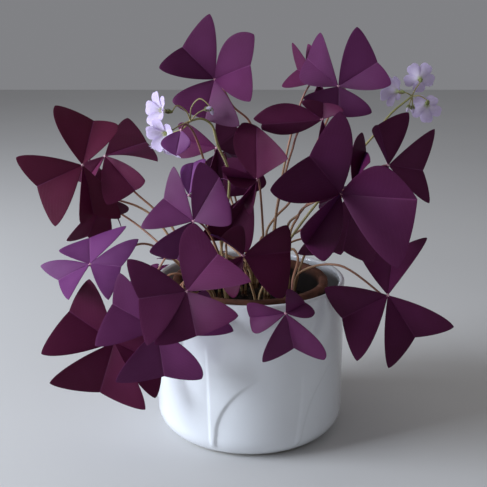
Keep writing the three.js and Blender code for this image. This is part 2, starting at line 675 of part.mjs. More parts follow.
function terracottaOf() {
  const { rimRadius, rimHeight, rimStep, rimDraft, bevel, innerBevel } = terracotta;
  const { baseRadius, height, wall, floor, seat, segments } = terracotta;
  const top = seat + height;
  const profile = [
    [0, seat],
    [baseRadius, seat],
    [rimRadius - rimStep, top - rimHeight],
    [rimRadius - rimDraft, top - rimHeight + rimDraft / 2],
    [rimRadius, top - bevel],
    [rimRadius - bevel, top],
    [rimRadius - wall + innerBevel, top],
    [rimRadius - wall, top - innerBevel],
    [innerRadius(seat + floor), seat + floor],
    [0, seat + floor],
  ];
  return turned(profile, segments);
}

function soilOf(crownPlaces) {
  const { rings, segments } = soil;
  const bottom = terracotta.seat + terracotta.floor + SEAT_GAP;
  const edge = soilRadius(soil.top);
  const profile = [[0, bottom], [soilRadius(bottom), bottom]];
  for (let i = rings; i >= 0; i -= 1) profile.push([(edge * i) / rings, soil.top]);
  const geometry = lathe(profile, segments);
  const position = geometry.attributes.position;
  for (let i = 0; i < position.count; i += 1) {
    if (position.getZ(i) > soil.top - 1) {
      position.setZ(i, soilHeight(position.getX(i), position.getY(i)));
    }
  }
  return crownPlaces.reduce((rest, place) => {
    const top = soilPoint(place);
    const hole = top.clone().setZ(top.z + knot.rise - knot.depth - SEAT_GAP);
    const width = knot.radius + SEAT_GAP;
    top.z += knot.depth;
    return rest.subtract(post(hole, top, width, width, knot.sides));
  }, outwards(geometry));
}

// ---------------------------------------------------------------- the object

const part = new THREE.Group();

function addPart(name, solid, look) {
  const mesh = new THREE.Mesh(geometryOf(solid), new THREE.MeshStandardMaterial(look));
  mesh.name = name;
  part.add(mesh);
}

addPart("cachepot", cachepotOf(), finish.glaze);
addPart("terracotta_pot", terracottaOf(), finish.terracotta);
addPart("soil", soilOf(Object.values(crowns)), finish.soil);

const blades = [...leaves, ...backLeaves].map(leafOf);
for (const { leaf, solid } of blades) addPart(`leaf_${leaf.name}`, solid, finish.leaf);

for (const [name, place] of Object.entries(crowns)) {
  const stalks = blades.filter(({ leaf }) => leaf.crown === name).map(stalkOf);
  if (stalks.length > 0) addPart(`stalks_${name}`, joined([crownOf(place), ...stalks]), finish.petiole);
}

for (const umbel of umbels) {
  const { stalk, blooms } = umbelOf(umbel);
  addPart(`flower_stalk_${umbel.name}`, joined([crownOf(crowns[umbel.crown]), stalk]), finish.stem);
  blooms.forEach((solid, k) => addPart(`bloom_${umbel.name}_${k + 1}`, solid, finish.petal));
}

export default part;
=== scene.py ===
# %% [markdown]
# # A purple shamrock in a white cachepot
#
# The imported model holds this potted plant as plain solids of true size. Here each solid gives
# way to a finer piece of the same form: smooth folded leaflets on slender stalks, lilac flowers
# with separate petals and stamens, glazed and unglazed pots, and crumbly soil.

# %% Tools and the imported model
import math
import random

import bpy
import numpy as np
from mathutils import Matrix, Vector, noise


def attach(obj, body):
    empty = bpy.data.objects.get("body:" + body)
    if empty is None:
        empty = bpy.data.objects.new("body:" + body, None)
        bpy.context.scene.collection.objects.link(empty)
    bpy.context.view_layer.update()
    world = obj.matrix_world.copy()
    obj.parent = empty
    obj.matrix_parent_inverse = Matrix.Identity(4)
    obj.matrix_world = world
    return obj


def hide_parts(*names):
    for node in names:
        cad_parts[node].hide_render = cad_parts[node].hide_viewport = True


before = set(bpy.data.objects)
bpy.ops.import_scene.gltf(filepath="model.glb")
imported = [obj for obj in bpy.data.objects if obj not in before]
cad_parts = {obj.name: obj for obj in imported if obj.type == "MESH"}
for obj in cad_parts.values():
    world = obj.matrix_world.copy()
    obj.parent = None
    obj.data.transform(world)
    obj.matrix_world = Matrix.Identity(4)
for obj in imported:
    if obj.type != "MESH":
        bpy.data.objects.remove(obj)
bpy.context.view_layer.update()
random.seed(11)

# %% [markdown]
# ## Sizes
#
# All lengths here are in millimetres, and they are turned into metres only when a mesh is made.
# The front of the plant faces -Y and the origin is the middle of the cachepot's foot.

# %% Sizes shared with the solids
MM = 0.001
VIEWPOINT = np.array([-5.0, -635.5, 317.0])
SEAT_GAP = 0.3
CACHEPOT = {"radius": 72.5, "height": 120, "wall": 4, "floor": 6, "heel": 17}
TERRACOTTA = {
    "rimRadius": 60, "rimHeight": 20, "rimStep": 4.5, "baseRadius": 43,
    "height": 113, "wall": 6.5, "floor": 7, "seat": 6.3,
}
SOIL_SIZE = {"top": 96, "dome": 3, "lump": 1.1}
RELIEF_BLADES = (
    {"height": 1.3,
     "straight": ((-23.7, 9), (-24.3, 40), (-24.9, 66), (-26.5, 92)),
     "curved": ((-20.6, 9), (-17.8, 33), (-7.5, 53), (10, 69))},
    {"height": 0.6,
     "straight": ((27, 9), (30, 34), (31, 54), (32, 74)),
     "curved": ((30, 9), (35, 33), (41, 48), (53, 64))},
)
RELIEF_REPEATS = 3
RELIEF_FOOT, RELIEF_FADE = (7, 11), (8, 42)
BLADE = {
    "notch": 0.1, "fold": 0.15, "longestRib": 0.92, "ribArch": 0.015,
    "arch": 0.04, "bow": 0.085, "lobe": 0.03, "tip": 0.045,
}
HUB_RADIUS = 1.7
GUIDED = {"lean": 3, "rise": 20, "approach": 12}
FREE = {"lean": 4, "rise": 0.5, "approach": 0.3}
KNOT = {"radius": 3.4, "depth": 9, "rise": 1.5, "foot": 0.45}
OVER_LIP = {"radius": 69, "height": 133, "below": 150}
BLOOM = {"petals": 5, "length": 10, "radius": 12.3, "flare": 1.6, "throatDepth": 1.3}
BLOOM_RIM = (0.62, 1)
SCAPE_RISE = 25
CALYX_DEPTH = 2.4
print("the cachepot is", CACHEPOT["height"], "mm tall and", 2 * CACHEPOT["radius"], "mm wide")

# %% [markdown]
# ## Where everything grows
#
# A crown is the knot of roots that a tuft of stalks leaves. A leaf has a crown, a hub, how near
# the viewer the hub is, the size of its leaflets, its look and, for each leaflet, the places of
# its two tips and sometimes of the notch between them. Places are [across, up] on the upright
# plane through the middle of the pot, as they appear from one viewpoint, and `near` is a
# distance in front of that plane. A look says how mauve and how wine red the leaf is, from 0 to
# 1. It is partly the leaf's own colour and partly painted light: it was raised on leaves that lie
# in shade, to lighten them, and lowered on some leaves turned from the light. A lean of -1 bends
# a tip all the way back from its hub, and +1 all the way forward. A tip's fourth number, if any,
# is how far the side edge that leads to it bows out.
#
# A flower stalk has a crown, the place where it branches, the places it passes on its way there,
# a row for each bloom and a row for each bud. A bloom's row holds the places its own stalk
# passes, the bloom's foot and the way it faces. A bud's row holds places and ends at the bud.

# %% Crowns, leaves and flowers
USUAL_LOOK = (0.25, 0.3)
CROWNS = {
    "front_left": (-26, -27), "left": (-38, -4), "centre_left": (-17, -9),
    "centre": (-4, 14), "front": (6, -30), "right": (24, -14),
    "far_right": (33, 10), "centre_right": (12, 2), "back": (4, 35),
    "left_flower": (-24, 11), "right_flower": (22, 26),
}


def leaf(name, crown, hub, near, size, look, leaflets, lean=-1.0, via=None):
    return {"name": name, "crown": crown, "hub": hub, "near": near, "size": size,
            "look": look, "leaflets": leaflets, "lean": lean, "via": via}


def back_leaf(name, **form):
    return {"name": name, "crown": "back", "look": USUAL_LOOK, "via": None, **form}


# Each look is partly the leaf's own colour and partly painted light: raised on leaves in shade, lowered on
# some turned from the light.
LEAVES = [
    leaf("high_left", "centre", (-26, 269), 12, 48, (0.35, 0.3), leaflets=(
        ((-66, 277, 0.3), (-29, 315, 0.3), (-49, 292)),
        ((2, 301, 1, 0.24), (0, 253, 1), (0, 279)),
        ((-57, 253, 0), (-8, 235, 0.8), (-33, 240)),
    ), via=((6, 200, -26), (4, 222, -24), (-1, 239, -14), (-13, 250, -4))),
    leaf("high_right", "centre_right", (64, 264), 10, 47, (0.4, 0.25), leaflets=(
        ((76, 306, 0.5), (102, 265, 0.5), (92, 281)),
        ((50, 302, -0.7), (36, 270, -0.7), (41, 284)),
        ((89, 245, 0.2), (39, 255, 0.2), (65, 242)),
    ), via=((12.5, 154, -4), (20, 167, -6), (30, 178, -8), (46, 215, -30), (60, 248, -54), (64, 263, -36))),
    leaf("high_middle", "centre_right", (50, 268), -32, 44, (0.25, 0.45), lean=-0.45, leaflets=(
        ((30, 295), (23, 264), (34, 276)),
        ((42, 294), (48, 282)),
        ((58, 248), (42, 246)),
    )),
    leaf("middle_right", "centre_right", (53, 240), 38, 44, (0.35, 0.6), lean=-0.4, leaflets=(
        ((3.5, 241, None, 0.24), (11.5, 232, None, 0.19), (8.5, 236.5)),
        ((65, 217), (52, 219)),
        ((38, 253, 0.1), (68, 247, 0.1)),
    ), via=((18.9, 157, 4), (19.6, 167, 5), (21.7, 179.5, 6), (28, 207, 10), (31, 217, 14), (36, 232, 18))),
    leaf("big_right", "right", (68, 184), 94, 60, (0.1, 0.2), leaflets=(
        ((15, 187, 0.8, 0.15), (66, 246, 0.8, 0.14), (44, 213)),
        ((39, 157, 0.9), (58, 132, 0.9)),
        ((100, 205, 0.4, 0.09), (114, 126, 0.4), (126, 180)),
    ), via=((31, 155.5, 20), (36, 166, 27), (38.5, 171.5, 32), (51, 179.5, 62))),
    leaf("big_far_right", "right", (78, 186), 52, 56, (0.05, 0.3), leaflets=(
        ((82, 230, 0, 0.13), (89, 208, 0.45), (86, 216)),
        ((105, 190), (108, 150)),
        ((36.5, 137.5), (95, 131), (71, 140)),
    ), via=((29, 160.5, 4), (36.5, 168, 6), (43.5, 176.5, 10), (62, 188, 24))),
    leaf("low_right", "far_right", (107, 104), 44, 52, (0.08, 0.3), leaflets=(
        ((58, 110, 0.5), (85, 49, 0), (72, 85)),
        ((160, 78), (110, 43), (130, 69)),
        ((135, 150), (82, 146)),
    )),
    leaf("far_right", "far_right", (103, 206), -4, 44, (0.3, 0.5), lean=-0.6, leaflets=(
        ((116, 245), (90, 231, 0.5), (94, 236)),
        ((136, 233), (135, 177), (129, 202)),
        ((104, 172, 0.2), (80, 198, 0.2)),
    )),
    leaf("centre_high", "centre_right", (5, 195), 46, 45, (0.22, 0.6), lean=-0.4, leaflets=(
        ((28, 211, 0.6), (-7, 236, -0.6, 0.2), (5, 235)),
        ((-10, 190, 0.3), (-20, 205, 0.6)),
        ((0, 169), (-13, 173)),
    )),
    leaf("centre_left", "centre_left", (-18, 182), -10, 42, (0.2, 0.4), lean=-0.4, leaflets=(
        ((12, 192), (-16, 211), (2, 208)),
        ((-6, 150, 0), (-34, 160, 0)),
    )),
    leaf("centre_low", "centre", (1, 186), 14, 48, (0.1, 0.5), lean=-0.3, leaflets=(
        ((-38, 151), (-2, 139), (-20, 148)),
        ((-22, 196), (8, 200)),
    )),
    leaf("mouth", "front", (-5, 136), 60, 42, (0.05, 0.5), leaflets=(
        ((28, 160, 0), (27, 103, -0.5, 0.22), (31, 139)),
        ((-38, 118, -0.2), (-12, 102, -0.2)),
        ((-30, 152, 0.6), (-8, 160, -0.6)),
    )),
    leaf("pot_front", "front", (28, 89), 98, 40, (0.3, 0.3), leaflets=(
        ((10, 48), (59, 50, None, 0.27), (35, 60)),
        ((29.5, 109, 0.3), (50, 88.5, 0), (43, 98)),
        ((-1, 97, -0.5), (4, 73, -0.5), (0, 85.5)),
    ), via=((31.5, 141, 48), (36.5, 135.5, 60), (36, 128, 74), (33, 116, 88))),
    leaf("mauve_left", "left", (-123, 129), 38, 40, (0.85, 0.1), leaflets=(
        ((-146, 140, -0.7), (-94, 159, None, 0.15), (-122, 150)),
        ((-161, 128), (-141, 100, 1), (-148, 116)),
        ((-85, 149, 1), (-110, 100, 1), (-99, 127)),
    ), via=((-75, 144, 12), (-88, 144, 14))),
    leaf("far_left", "left", (-125, 206), 34, 49, (0.15, 0.8), leaflets=(
        ((-143, 250, -1, 0.14), (-97, 235, -0.3, 0.1), (-115, 239)),
        ((-174, 212, 0), (-148, 159, 0), (-160, 190)),
        ((-129, 162, 0), (-98, 166)),
    ), via=((-70, 163, -10), (-84, 174, -18), (-98, 179, -16), (-107, 182, 4), (-115, 194, 20))),
    leaf("left_behind", "left", (-108, 213), 16, 42, (0.6, 0.8), leaflets=(
        ((-90, 241), (-69, 209, 0.7, -0.05), (-76.5, 223)),
        ((-79, 195, 0.7), (-108, 176, 0.7), (-86, 187)),
        ((-125, 180), (-136, 198)),
    ), via=((-59, 158, -6), (-73, 173, -12), (-88, 187, -16))),
    leaf("left_low", "left", (-109, 181), -10, 42, (0.25, 0.75), lean=-0.5, leaflets=(
        ((-140, 148), (-108, 144)),
        ((-92, 172), (-98, 158)),
        ((-120, 210), (-100, 206)),
    ), via=((-70, 146, -18), (-88, 162, -34))),
    leaf("low_left", "front_left", (-107, 65), 56, 51, (0.12, 0.6), leaflets=(
        ((-124, 117, 0.7), (-165, 55, 0.7), (-141, 91)),
        ((-160, 30), (-84, 7), (-120, 22)),
        ((-76, 17, 0.1), (-58, 70, 0.2)),
    )),
    leaf("front_left", "front_left", (-73, 76), 80, 46, (0.4, 0.25), leaflets=(
        ((-100, 122, 0), (-122, 62, 0), (-107, 97)),
        ((-107, 31), (-38, 34, None, 0.2), (-68, 36)),
        ((-13, 74), (-35, 108, 0.5)),
    )),
    leaf("front", "front_left", (-49, 107), 106, 46, (0.3, 0.4), leaflets=(
        ((-94, 133, 0.5), (-81, 62, 1), (-86.5, 101)),
        ((-75, 63, 0.4), (-9, 87, 0.5), (-42, 70)),
        ((-42.5, 161.5, None, 0.2), (1, 115, 1), (-24.5, 137)),
    ), via=((-46, 115, 54), (-52, 111, 74))),
    leaf("middle_left", "centre_left", (-43, 163), 70, 41, (0.45, 0.25), leaflets=(
        ((-57, 205, -0.4), (-83, 158, -0.4), (-65, 181)),
        ((-38, 208, 0.3), (-14, 165, 0.3, 0.2), (-23, 197)),
        ((-77, 139, -0.3), (-36, 122, -0.1), (-56, 133)),
    )),
    leaf("young", "centre_left", (-51, 232), 64, 22, (0.85, 0.1), leaflets=(
        ((-66, 221, 0, 0.14), (-45, 220.5, 0.3, 0.14), (-55, 213)),
        ((-57, 225), (-47.5, 225)),
    )),
    leaf("young_low", "centre_left", (-46, 183), 40, 27, (1.0, 0.0), lean=-0.3, leaflets=(
        ((-51, 204), (-33, 210), (-42, 208)),
        ((-62, 190), (-60, 176)),
        ((-34, 172), (-26, 184)),
    )),
    leaf("centre_back", "back", (-25, 219), -36, 44, (0.3, 0.45), lean=-0.5, leaflets=(
        ((-53, 236, None, 0.22), (-53, 212)),
        ((-5, 216), (-22, 243), (-8, 232)),
        ((-34, 184), (-12, 190)),
    )),
]
BACK_LEAVES = [
    back_leaf("back_right", at=(86, 58, 176), axis=(0.4, 0.5, 0.8), droop=30, turn=20, size=36),
    back_leaf("back_left", at=(-96, 40, 104), axis=(-0.7, 0.5, 0.5), droop=28, turn=50, size=36),
    back_leaf("back_high", at=(-20, 66, 206), axis=(-0.1, 0.4, 0.9), droop=30, turn=0, size=38),
    back_leaf("back_middle", at=(90, 90, 138), axis=(0.4, 0.6, 0.7), droop=26, turn=95, size=36),
    back_leaf("back_low_left", at=(-58, 85, 106), axis=(-0.4, 0.8, 0.4), droop=22, turn=70, size=42),
    back_leaf("back_low", at=(18, 106, 90), axis=(0.05, 0.9, 0.4), droop=20, turn=30, size=42),
]
UMBELS = [
    ("left", "left_flower", (-44, 239, 30),
     ((-16, 200, 13), (-24, 221, 18), (-28.5, 236, 24.5), (-36, 240.5, 29)), (
        (((-47, 246, 32), (-54, 250, 36)), (-61, 246, 40), (-0.9, -0.7, 0.25)),
        (((-51, 236, 33),), (-60, 231, 48), (-0.65, -1, -0.2)),
        (((-50, 233, 31),), (-60, 226, 30), (-0.35, -0.25, -1)),
     ), (
        ((-43, 249, 31), (-37, 255, 33), (-31, 251, 35), (-28.5, 246, 36)),
        ((-38, 245, 34), (-31, 248, 38)),
     )),
    ("right", "right_flower", (118, 257, -32),
     ((60, 190, -30), (86, 222, -34), (92, 229, -34), (103, 244, -34)), (
        (((114.5, 259, -30),), (109.5, 260, -34), (-0.6, 0.8, 0)),
        (((120, 261.5, -31),), (123.5, 268.5, -34), (0.1, 1, 0.15)),
        (((124, 257, -28),), (129.5, 252, -30), (0.1, 0.85, -0.5)),
     ), (((115.5, 248, -30),), ((119, 247.5, -33),))),
]
print("placed", len(LEAVES) + len(BACK_LEAVES), "leaves and", len(UMBELS), "flower stalks")

# %% [markdown]
# ## Places in space
#
# Leaves hang in space at every angle. Each corner is given by where it appears from one
# viewpoint, and a line of sight and the known length of a leaflet's side together give its
# depth. Three typed coordinates for each corner would work too, but then the two sides of a
# leaflet would seldom come out alike.

# %% Lines of sight
def unit(v):
    return v / np.linalg.norm(v)


def seen(place, near):
    start = np.array([place[0], 0.0, place[1]])
    return start + (VIEWPOINT - start) * near / -VIEWPOINT[1]


def all_seen(places):
    return [seen(place, place[2]) for place in places]


def reach(hub, place, length, usual_lean):
    """The point on the line of sight through a place that lies `length` from the hub."""
    sight = unit(np.array([place[0], 0.0, place[1]]) - VIEWPOINT)
    to_hub = hub - VIEWPOINT
    along = to_hub @ sight
    depth = math.sqrt(max(length**2 - (to_hub @ to_hub - along**2), 0))
    lean = usual_lean if len(place) < 3 or place[2] is None else place[2]
    return VIEWPOINT + sight * (along - lean * depth)


def turned(v, axis, angle):
    """A vector turned about a unit axis."""
    along = axis * (axis @ v)
    return along + (v - along) * math.cos(angle) + np.cross(axis, v) * math.sin(angle)


# %% [markdown]
# ## Building a mesh
#
# A Shape gathers points with a UV place for each, faces with a material number for each, the
# edges that stay crisp, and which points are on an underside. Every leaf, stalk and flower below
# adds its parts to one Shape. Modifiers could thicken and bevel simple surfaces instead, but
# points from a formula are known exactly, so a stalk ends where its leaf begins.

# %% Shapes
class Shape:
    def __init__(self):
        self.points, self.uvs, self.faces, self.marks, self.under = [], [], [], [], []
        self.creases = set()

    def add(self, points, uvs, faces, mark=0, creases=(), under=None):
        start = len(self.points)
        self.points.extend(tuple(p) for p in points)
        self.uvs.extend(uvs)
        self.faces.extend(tuple(start + i for i in face) for face in faces)
        self.marks.extend([mark] * len(faces))
        self.creases.update(tuple(sorted((start + a, start + b))) for a, b in creases)
        self.under.extend(under if under is not None else [0.0] * len(points))


def piece(name, shape, materials, nodes, crisp_angle=50, values=None):
    """Makes the mesh object, which rides on the body and stands for the named solids."""
    mesh = bpy.data.meshes.new(name)
    mesh.from_pydata([[c * MM for c in p] for p in shape.points], [], shape.faces)
    corners = np.empty(len(mesh.loops), dtype=np.int64)
    mesh.loops.foreach_get("vertex_index", corners)
    layer = mesh.uv_layers.new(name="UVMap")
    layer.data.foreach_set("uv", np.array(shape.uvs, dtype=np.float32)[corners].ravel())
    mesh.polygons.foreach_set("material_index", shape.marks)
    mesh.polygons.foreach_set("use_smooth", [True] * len(mesh.polygons))
    mesh.set_sharp_from_angle(angle=math.radians(crisp_angle))
    for edge in mesh.edges:
        if tuple(sorted(edge.vertices)) in shape.creases:
            edge.use_edge_sharp = True
    for key, value in (values or {}).items():
        data = value if isinstance(value, list) else [value] * len(mesh.vertices)
        mesh.attributes.new(key, "FLOAT", "POINT").data.foreach_set("value", data)
    for material in materials:
        mesh.materials.append(material)
    mesh.validate()
    mesh.update()
    thing = bpy.data.objects.new(name, mesh)
    bpy.context.scene.collection.objects.link(thing)
    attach(thing, "root")
    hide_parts(*nodes)


# %% [markdown]
# A leaflet, a petal or a sepal is a closed thin sheet. It comes from a grid of points whose
# first row is one point, at the root, and its two faces lie half the thickness to each side.
# Like a real one, it is thinner along its edge. A single surface would have no edge at all.

# %% Thin sheets
EDGE_SHARE = 0.6


def grid_normals(grid):
    down = np.gradient(grid, axis=0)
    over = np.gradient(grid, axis=1)
    normals = np.cross(down, over)
    normals[0] = normals[1].mean(axis=0)
    return normals / np.maximum(np.linalg.norm(normals, axis=2, keepdims=True), 1e-9)


def thin_sheet(shape, grid, acrosses, alongs, thickness, facing, mark=0, rib=None):
    rows, columns = grid.shape[:2]
    normals = grid_normals(grid)
    if normals[rows // 2, columns // 2] @ facing < 0:
        normals = -normals
    thick = np.full((rows, columns, 1), thickness / 2)
    thick[-1] *= EDGE_SHARE
    thick[:, [0, -1]] *= EDGE_SHARE
    count = 1 + (rows - 1) * columns

    def number(i, j, side):
        return side * count + (0 if i == 0 else 1 + (i - 1) * columns + j)

    points, uvs, under = [], [], []
    for side in (1, -1):
        layer = grid + normals * thick * side
        points.extend([layer[0, 0], *layer[1:].reshape(-1, 3)])
        uvs.append((0.5, 0.0))
        uvs.extend(((a + 1) / 2, v) for v in alongs[1:] for a in acrosses)
        under.extend([0.0 if side > 0 else 1.0] * count)
    faces = []
    turn = np.cross(grid[2, 0] - grid[1, 0], grid[1, columns - 1] - grid[1, 0]) @ normals[1, 0] < 0
    for side in (0, 1):
        for i in range(rows - 1):
            for j in range(columns - 1):
                ring = [number(i, j, side), number(i + 1, j, side), number(i + 1, j + 1, side)]
                if i > 0:
                    ring.append(number(i, j + 1, side))
                faces.append(ring if (side == 1) == turn else ring[::-1])
    edge = [(rows - 1, j) for j in range(columns)]
    edge += [(i, columns - 1) for i in range(rows - 2, 0, -1)]
    edge += [(0, 0)] + [(i, 0) for i in range(1, rows - 1)]
    for k, here in enumerate(edge):
        there = edge[(k + 1) % len(edge)]
        ring = [number(*here, 0), number(*there, 0), number(*there, 1), number(*here, 1)]
        faces.append(ring if turn else ring[::-1])
    creases = []
    if rib is not None:
        steps = [(i, side) for side in (0, 1) for i in range(rows - 1)]
        creases = [(number(i, rib, side), number(i + 1, rib, side)) for i, side in steps]
    shape.add(points, uvs, faces, mark, creases, under)


# %% [markdown]
# Stalks follow smooth curves through their places, and are round, tapering tubes. Curve objects
# with a bevel make such tubes as well. Rings from a formula are chosen here, because their UV
# map says how far along the stalk a point is, and the stalk's colours follow that.

# %% Curves and tubes
DOME_SHARE = 0.5


def through(places, steps):
    """A smooth curve through places, evenly paced by the root of their spacing."""
    p = [np.array(q, dtype=float) for q in places]
    p = [2 * p[0] - p[1], *p, 2 * p[-1] - p[-2]]
    curve = []
    for a, b, c, d in zip(p, p[1:], p[2:], p[3:]):
        pairs = ((a, b), (b, c), (c, d))
        before, here, after = (math.sqrt(np.linalg.norm(y - x)) for x, y in pairs)
        leave = ((b - a) / before - (c - a) / (before + here) + (c - b) / here) * here
        arrive = ((c - b) / here - (d - b) / (here + after) + (d - c) / after) * here
        for k in range(steps):
            t = k / steps
            curve.append(
                b + leave * t + (3 * (c - b) - 2 * leave - arrive) * t**2
                + (2 * (b - c) + leave + arrive) * t**3
            )
    return np.array([*curve, p[-2]])


def bezier(places, steps):
    a, b, c, d = (np.array(q, dtype=float) for q in places)
    t = np.linspace(0, 1, steps + 1)[:, None]
    return a * (1 - t) ** 3 + 3 * b * t * (1 - t) ** 2 + 3 * c * t**2 * (1 - t) + d * t**3


def tube(shape, path, radii, sides, mark=0):
    """A round tube with domed ends. `radii` is one radius for each point of the path."""
    heading = np.gradient(path, axis=0)
    heading /= np.linalg.norm(heading, axis=1, keepdims=True)
    side = np.cross(heading[0], [0.31, 0.9, 0.17])
    points, uvs = [], []
    for k, (centre, way, radius) in enumerate(zip(path, heading, radii)):
        side = unit(side - way * (side @ way))
        other = np.cross(way, side)
        for j in range(sides + 1):
            angle = 2 * math.pi * j / sides
            points.append(centre + radius * (side * math.cos(angle) + other * math.sin(angle)))
            uvs.append((j / sides, k / (len(path) - 1)))
    ring = sides + 1
    faces = []
    for k in range(len(path) - 1):
        for j in range(sides):
            a = k * ring + j
            faces.append((a, a + 1, a + 1 + ring, a + ring))
    first, last = len(points), len(points) + 1
    points.append(path[0] - heading[0] * radii[0] * DOME_SHARE)
    points.append(path[-1] + heading[-1] * radii[-1] * DOME_SHARE)
    uvs.extend([(0.5, 0.0), (0.5, 1.0)])
    end = (len(path) - 1) * ring
    faces.extend((first, j + 1, j) for j in range(sides))
    faces.extend((last, end + j, end + j + 1) for j in range(sides))
    shape.add(points, uvs, faces, mark)


def ball(shape, centre, radii, axis, mark, rings=8, sides=12):
    """An egg-shaped bead about an axis: radii are (across, along)."""
    way = unit(np.array(axis, dtype=float))
    path = [centre - way * radii[1] * math.cos(math.pi * k / rings) for k in range(1, rings)]
    girth = [radii[0] * math.sin(math.pi * k / rings) for k in range(1, rings)]
    tube(shape, np.array(path), girth, sides, mark)


# %% [markdown]
# ## Materials
#
# Colours are written as sRGB hex, and one function turns them into the linear light that
# shaders work in. One small function adds a node, so that a material reads as a list of steps. The
# patterns could be painted on image maps instead, but made from noise and from the place on a
# blade they stay crisp at any distance, and their sizes can be given in millimetres.

# %% Colour and node helpers
def colour(code):
    parts = [int(code[k : k + 2], 16) / 255 for k in (1, 3, 5)]
    return (*(c / 12.92 if c <= 0.04045 else ((c + 0.055) / 1.055) ** 2.4 for c in parts), 1.0)


def node(tree, kind, inputs=None, out=0, **settings):
    """Adds a node with its settings, sets or links its inputs, and gives back one output."""
    made = tree.nodes.new("ShaderNode" + kind)
    for key, value in settings.items():
        setattr(made, key, value)
    for key, value in (inputs or {}).items():
        if isinstance(value, bpy.types.NodeSocket):
            tree.links.new(value, made.inputs[key])
        else:
            made.inputs[key].default_value = colour(value) if isinstance(value, str) else value
    return made.outputs[out]


def start_material(name, roughness, **values):
    material = bpy.data.materials.new(name)
    material.use_nodes = True
    shader = material.node_tree.nodes["Principled BSDF"]
    shader.inputs["Roughness"].default_value = roughness
    for key, value in values.items():
        shader.inputs[key.replace("_", " ")].default_value = value
    return material, material.node_tree, shader


# %% [markdown]
# Patterns and finishes that several materials share. Noise is fixed to the object, so that it
# doesn't swim when the object moves, and fine bumps stand in for a surface too fine to model.

# %% Shared patterns and finishes
SMOOTHLY = {"interpolation_type": "SMOOTHSTEP"}
OF_COLOURS = {"data_type": "RGBA", "out": 2}


def place_noise(tree, size, detail=2.0, distortion=0.0):
    """Soft noise fixed to the object, with lumps about `size` millimetres across."""
    place = node(tree, "TexCoord", out="Object")
    inputs = {"Vector": place, "Scale": 1 / (size * MM), "Detail": detail, "Distortion": distortion}
    return node(tree, "TexNoise", inputs)


def swing(tree, size, detail):
    """Noise that swings about 0, to shift the edge of a pattern to and fro."""
    cloud = place_noise(tree, size, detail)
    return node(tree, "Math", {0: cloud, 1: 0.5, 2: -0.25}, operation="MULTIPLY_ADD")


def fading(tree, value, low, high):
    """1 below `low`, 0 above `high` and smooth between."""
    grown = node(tree, "MapRange", {0: value, 1: low, 2: high}, **SMOOTHLY)
    return node(tree, "Math", {0: 1.0, 1: grown}, operation="SUBTRACT")


def uv_place(tree):
    """A point's place on the UV map: across first, then along."""
    parts = node(tree, "SeparateXYZ", {0: node(tree, "UVMap")}).node.outputs
    return parts[0], parts[1]


def blade_place(tree):
    """How far a point is across its blade from the middle, and along it from the root, 0 to 1."""
    over, along = uv_place(tree)
    side = node(tree, "Math", {0: over, 1: 2.0, 2: -1.0}, operation="MULTIPLY_ADD")
    return node(tree, "Math", {0: side}, operation="ABSOLUTE"), along


def mottled(tree, size, detail, light, dark, edges=None):
    """Two colours that drift into each other, in lumps about `size` millimetres across."""
    cloud = place_noise(tree, size, detail)
    if edges:
        cloud = node(tree, "MapRange", {0: cloud, 1: edges[0], 2: edges[1]}, **SMOOTHLY)
    return node(tree, "Mix", {0: cloud, 6: light, 7: dark}, **OF_COLOURS)


def finish(tree, shader, base, height, depth):
    """Gives the shader its base colour and bumps of a depth in millimetres."""
    tree.links.new(base, shader.inputs["Base Color"])
    inputs = {"Height": height, "Strength": 1.0, "Distance": depth * MM}
    tree.links.new(node(tree, "Bump", inputs), shader.inputs["Normal"])


def plain_material(name, light, dark, roughness, lumps, bumps, edges=None, **values):
    """Two colours in lumps of a size and detail, under bumps of a size, detail and depth."""
    material, tree, shader = start_material(name, roughness, **values)
    base = mottled(tree, *lumps, light, dark, edges)
    finish(tree, shader, base, place_noise(tree, *bumps[:2]), bumps[2])
    return material


def let_light_through(tree, shader, share, glow):
    see = node(tree, "BsdfTranslucent", {"Color": glow})
    mix = node(tree, "MixShader", {0: share, 1: shader.outputs[0], 2: see})
    tree.links.new(mix, tree.nodes["Material Output"].inputs["Surface"])


# %% [markdown]
# ### Leaf blades
#
# A blade is darkest along its margins and carries a lighter violet field round the midrib. Fine
# veins fan out from the midrib. Some leaves are more wine red, others mauve: two values on each
# leaf's points say how much, so that one material serves them all. These values also carry
# painted light, raised on leaves in shade and lowered on some turned from the light. The
# underside is redder.
# Light could be sent through the blade by scattering it inside a solid. A share of translucency
# gives the same glow on so thin a blade, at a fraction of the time.

# %% Leaf material
# Leaf tissue under a thin waxy skin, satin: it gives the eye a soft broad highlight, a violet
# bloom where the blade is seen at a slant, and a red glow against the light.
MARGIN_FADE, FLANK_FADE, FIELD_SHARE = (0.55, 1.0), (0.4, 1.0), 0.7
VEIN_COUNT, VEIN_SLANT, VEIN_WIDTH, RIB_WIDTH = 13.0, -6.0, 0.045, 0.03
VEIN_SHARE, RIB_SHARE, UNDER_SHARE, LEAF_GLOW_SHARE = 0.14, 0.4, 0.6, 0.16
VEIN_SINK, GRAIN_SHARE = -0.4, 0.35


def leaf_field(tree, across, along, drift):
    """1 in the middle of the blade, and 0 along its margins."""
    out = node(tree, "Math", {0: along, 1: drift}, operation="ADD")
    rim = fading(tree, out, *MARGIN_FADE)
    aside = node(tree, "Math", {0: across, 1: drift}, operation="ADD")
    flank = fading(tree, aside, *FLANK_FADE)
    return node(tree, "Math", {0: rim, 1: flank}, operation="MULTIPLY")


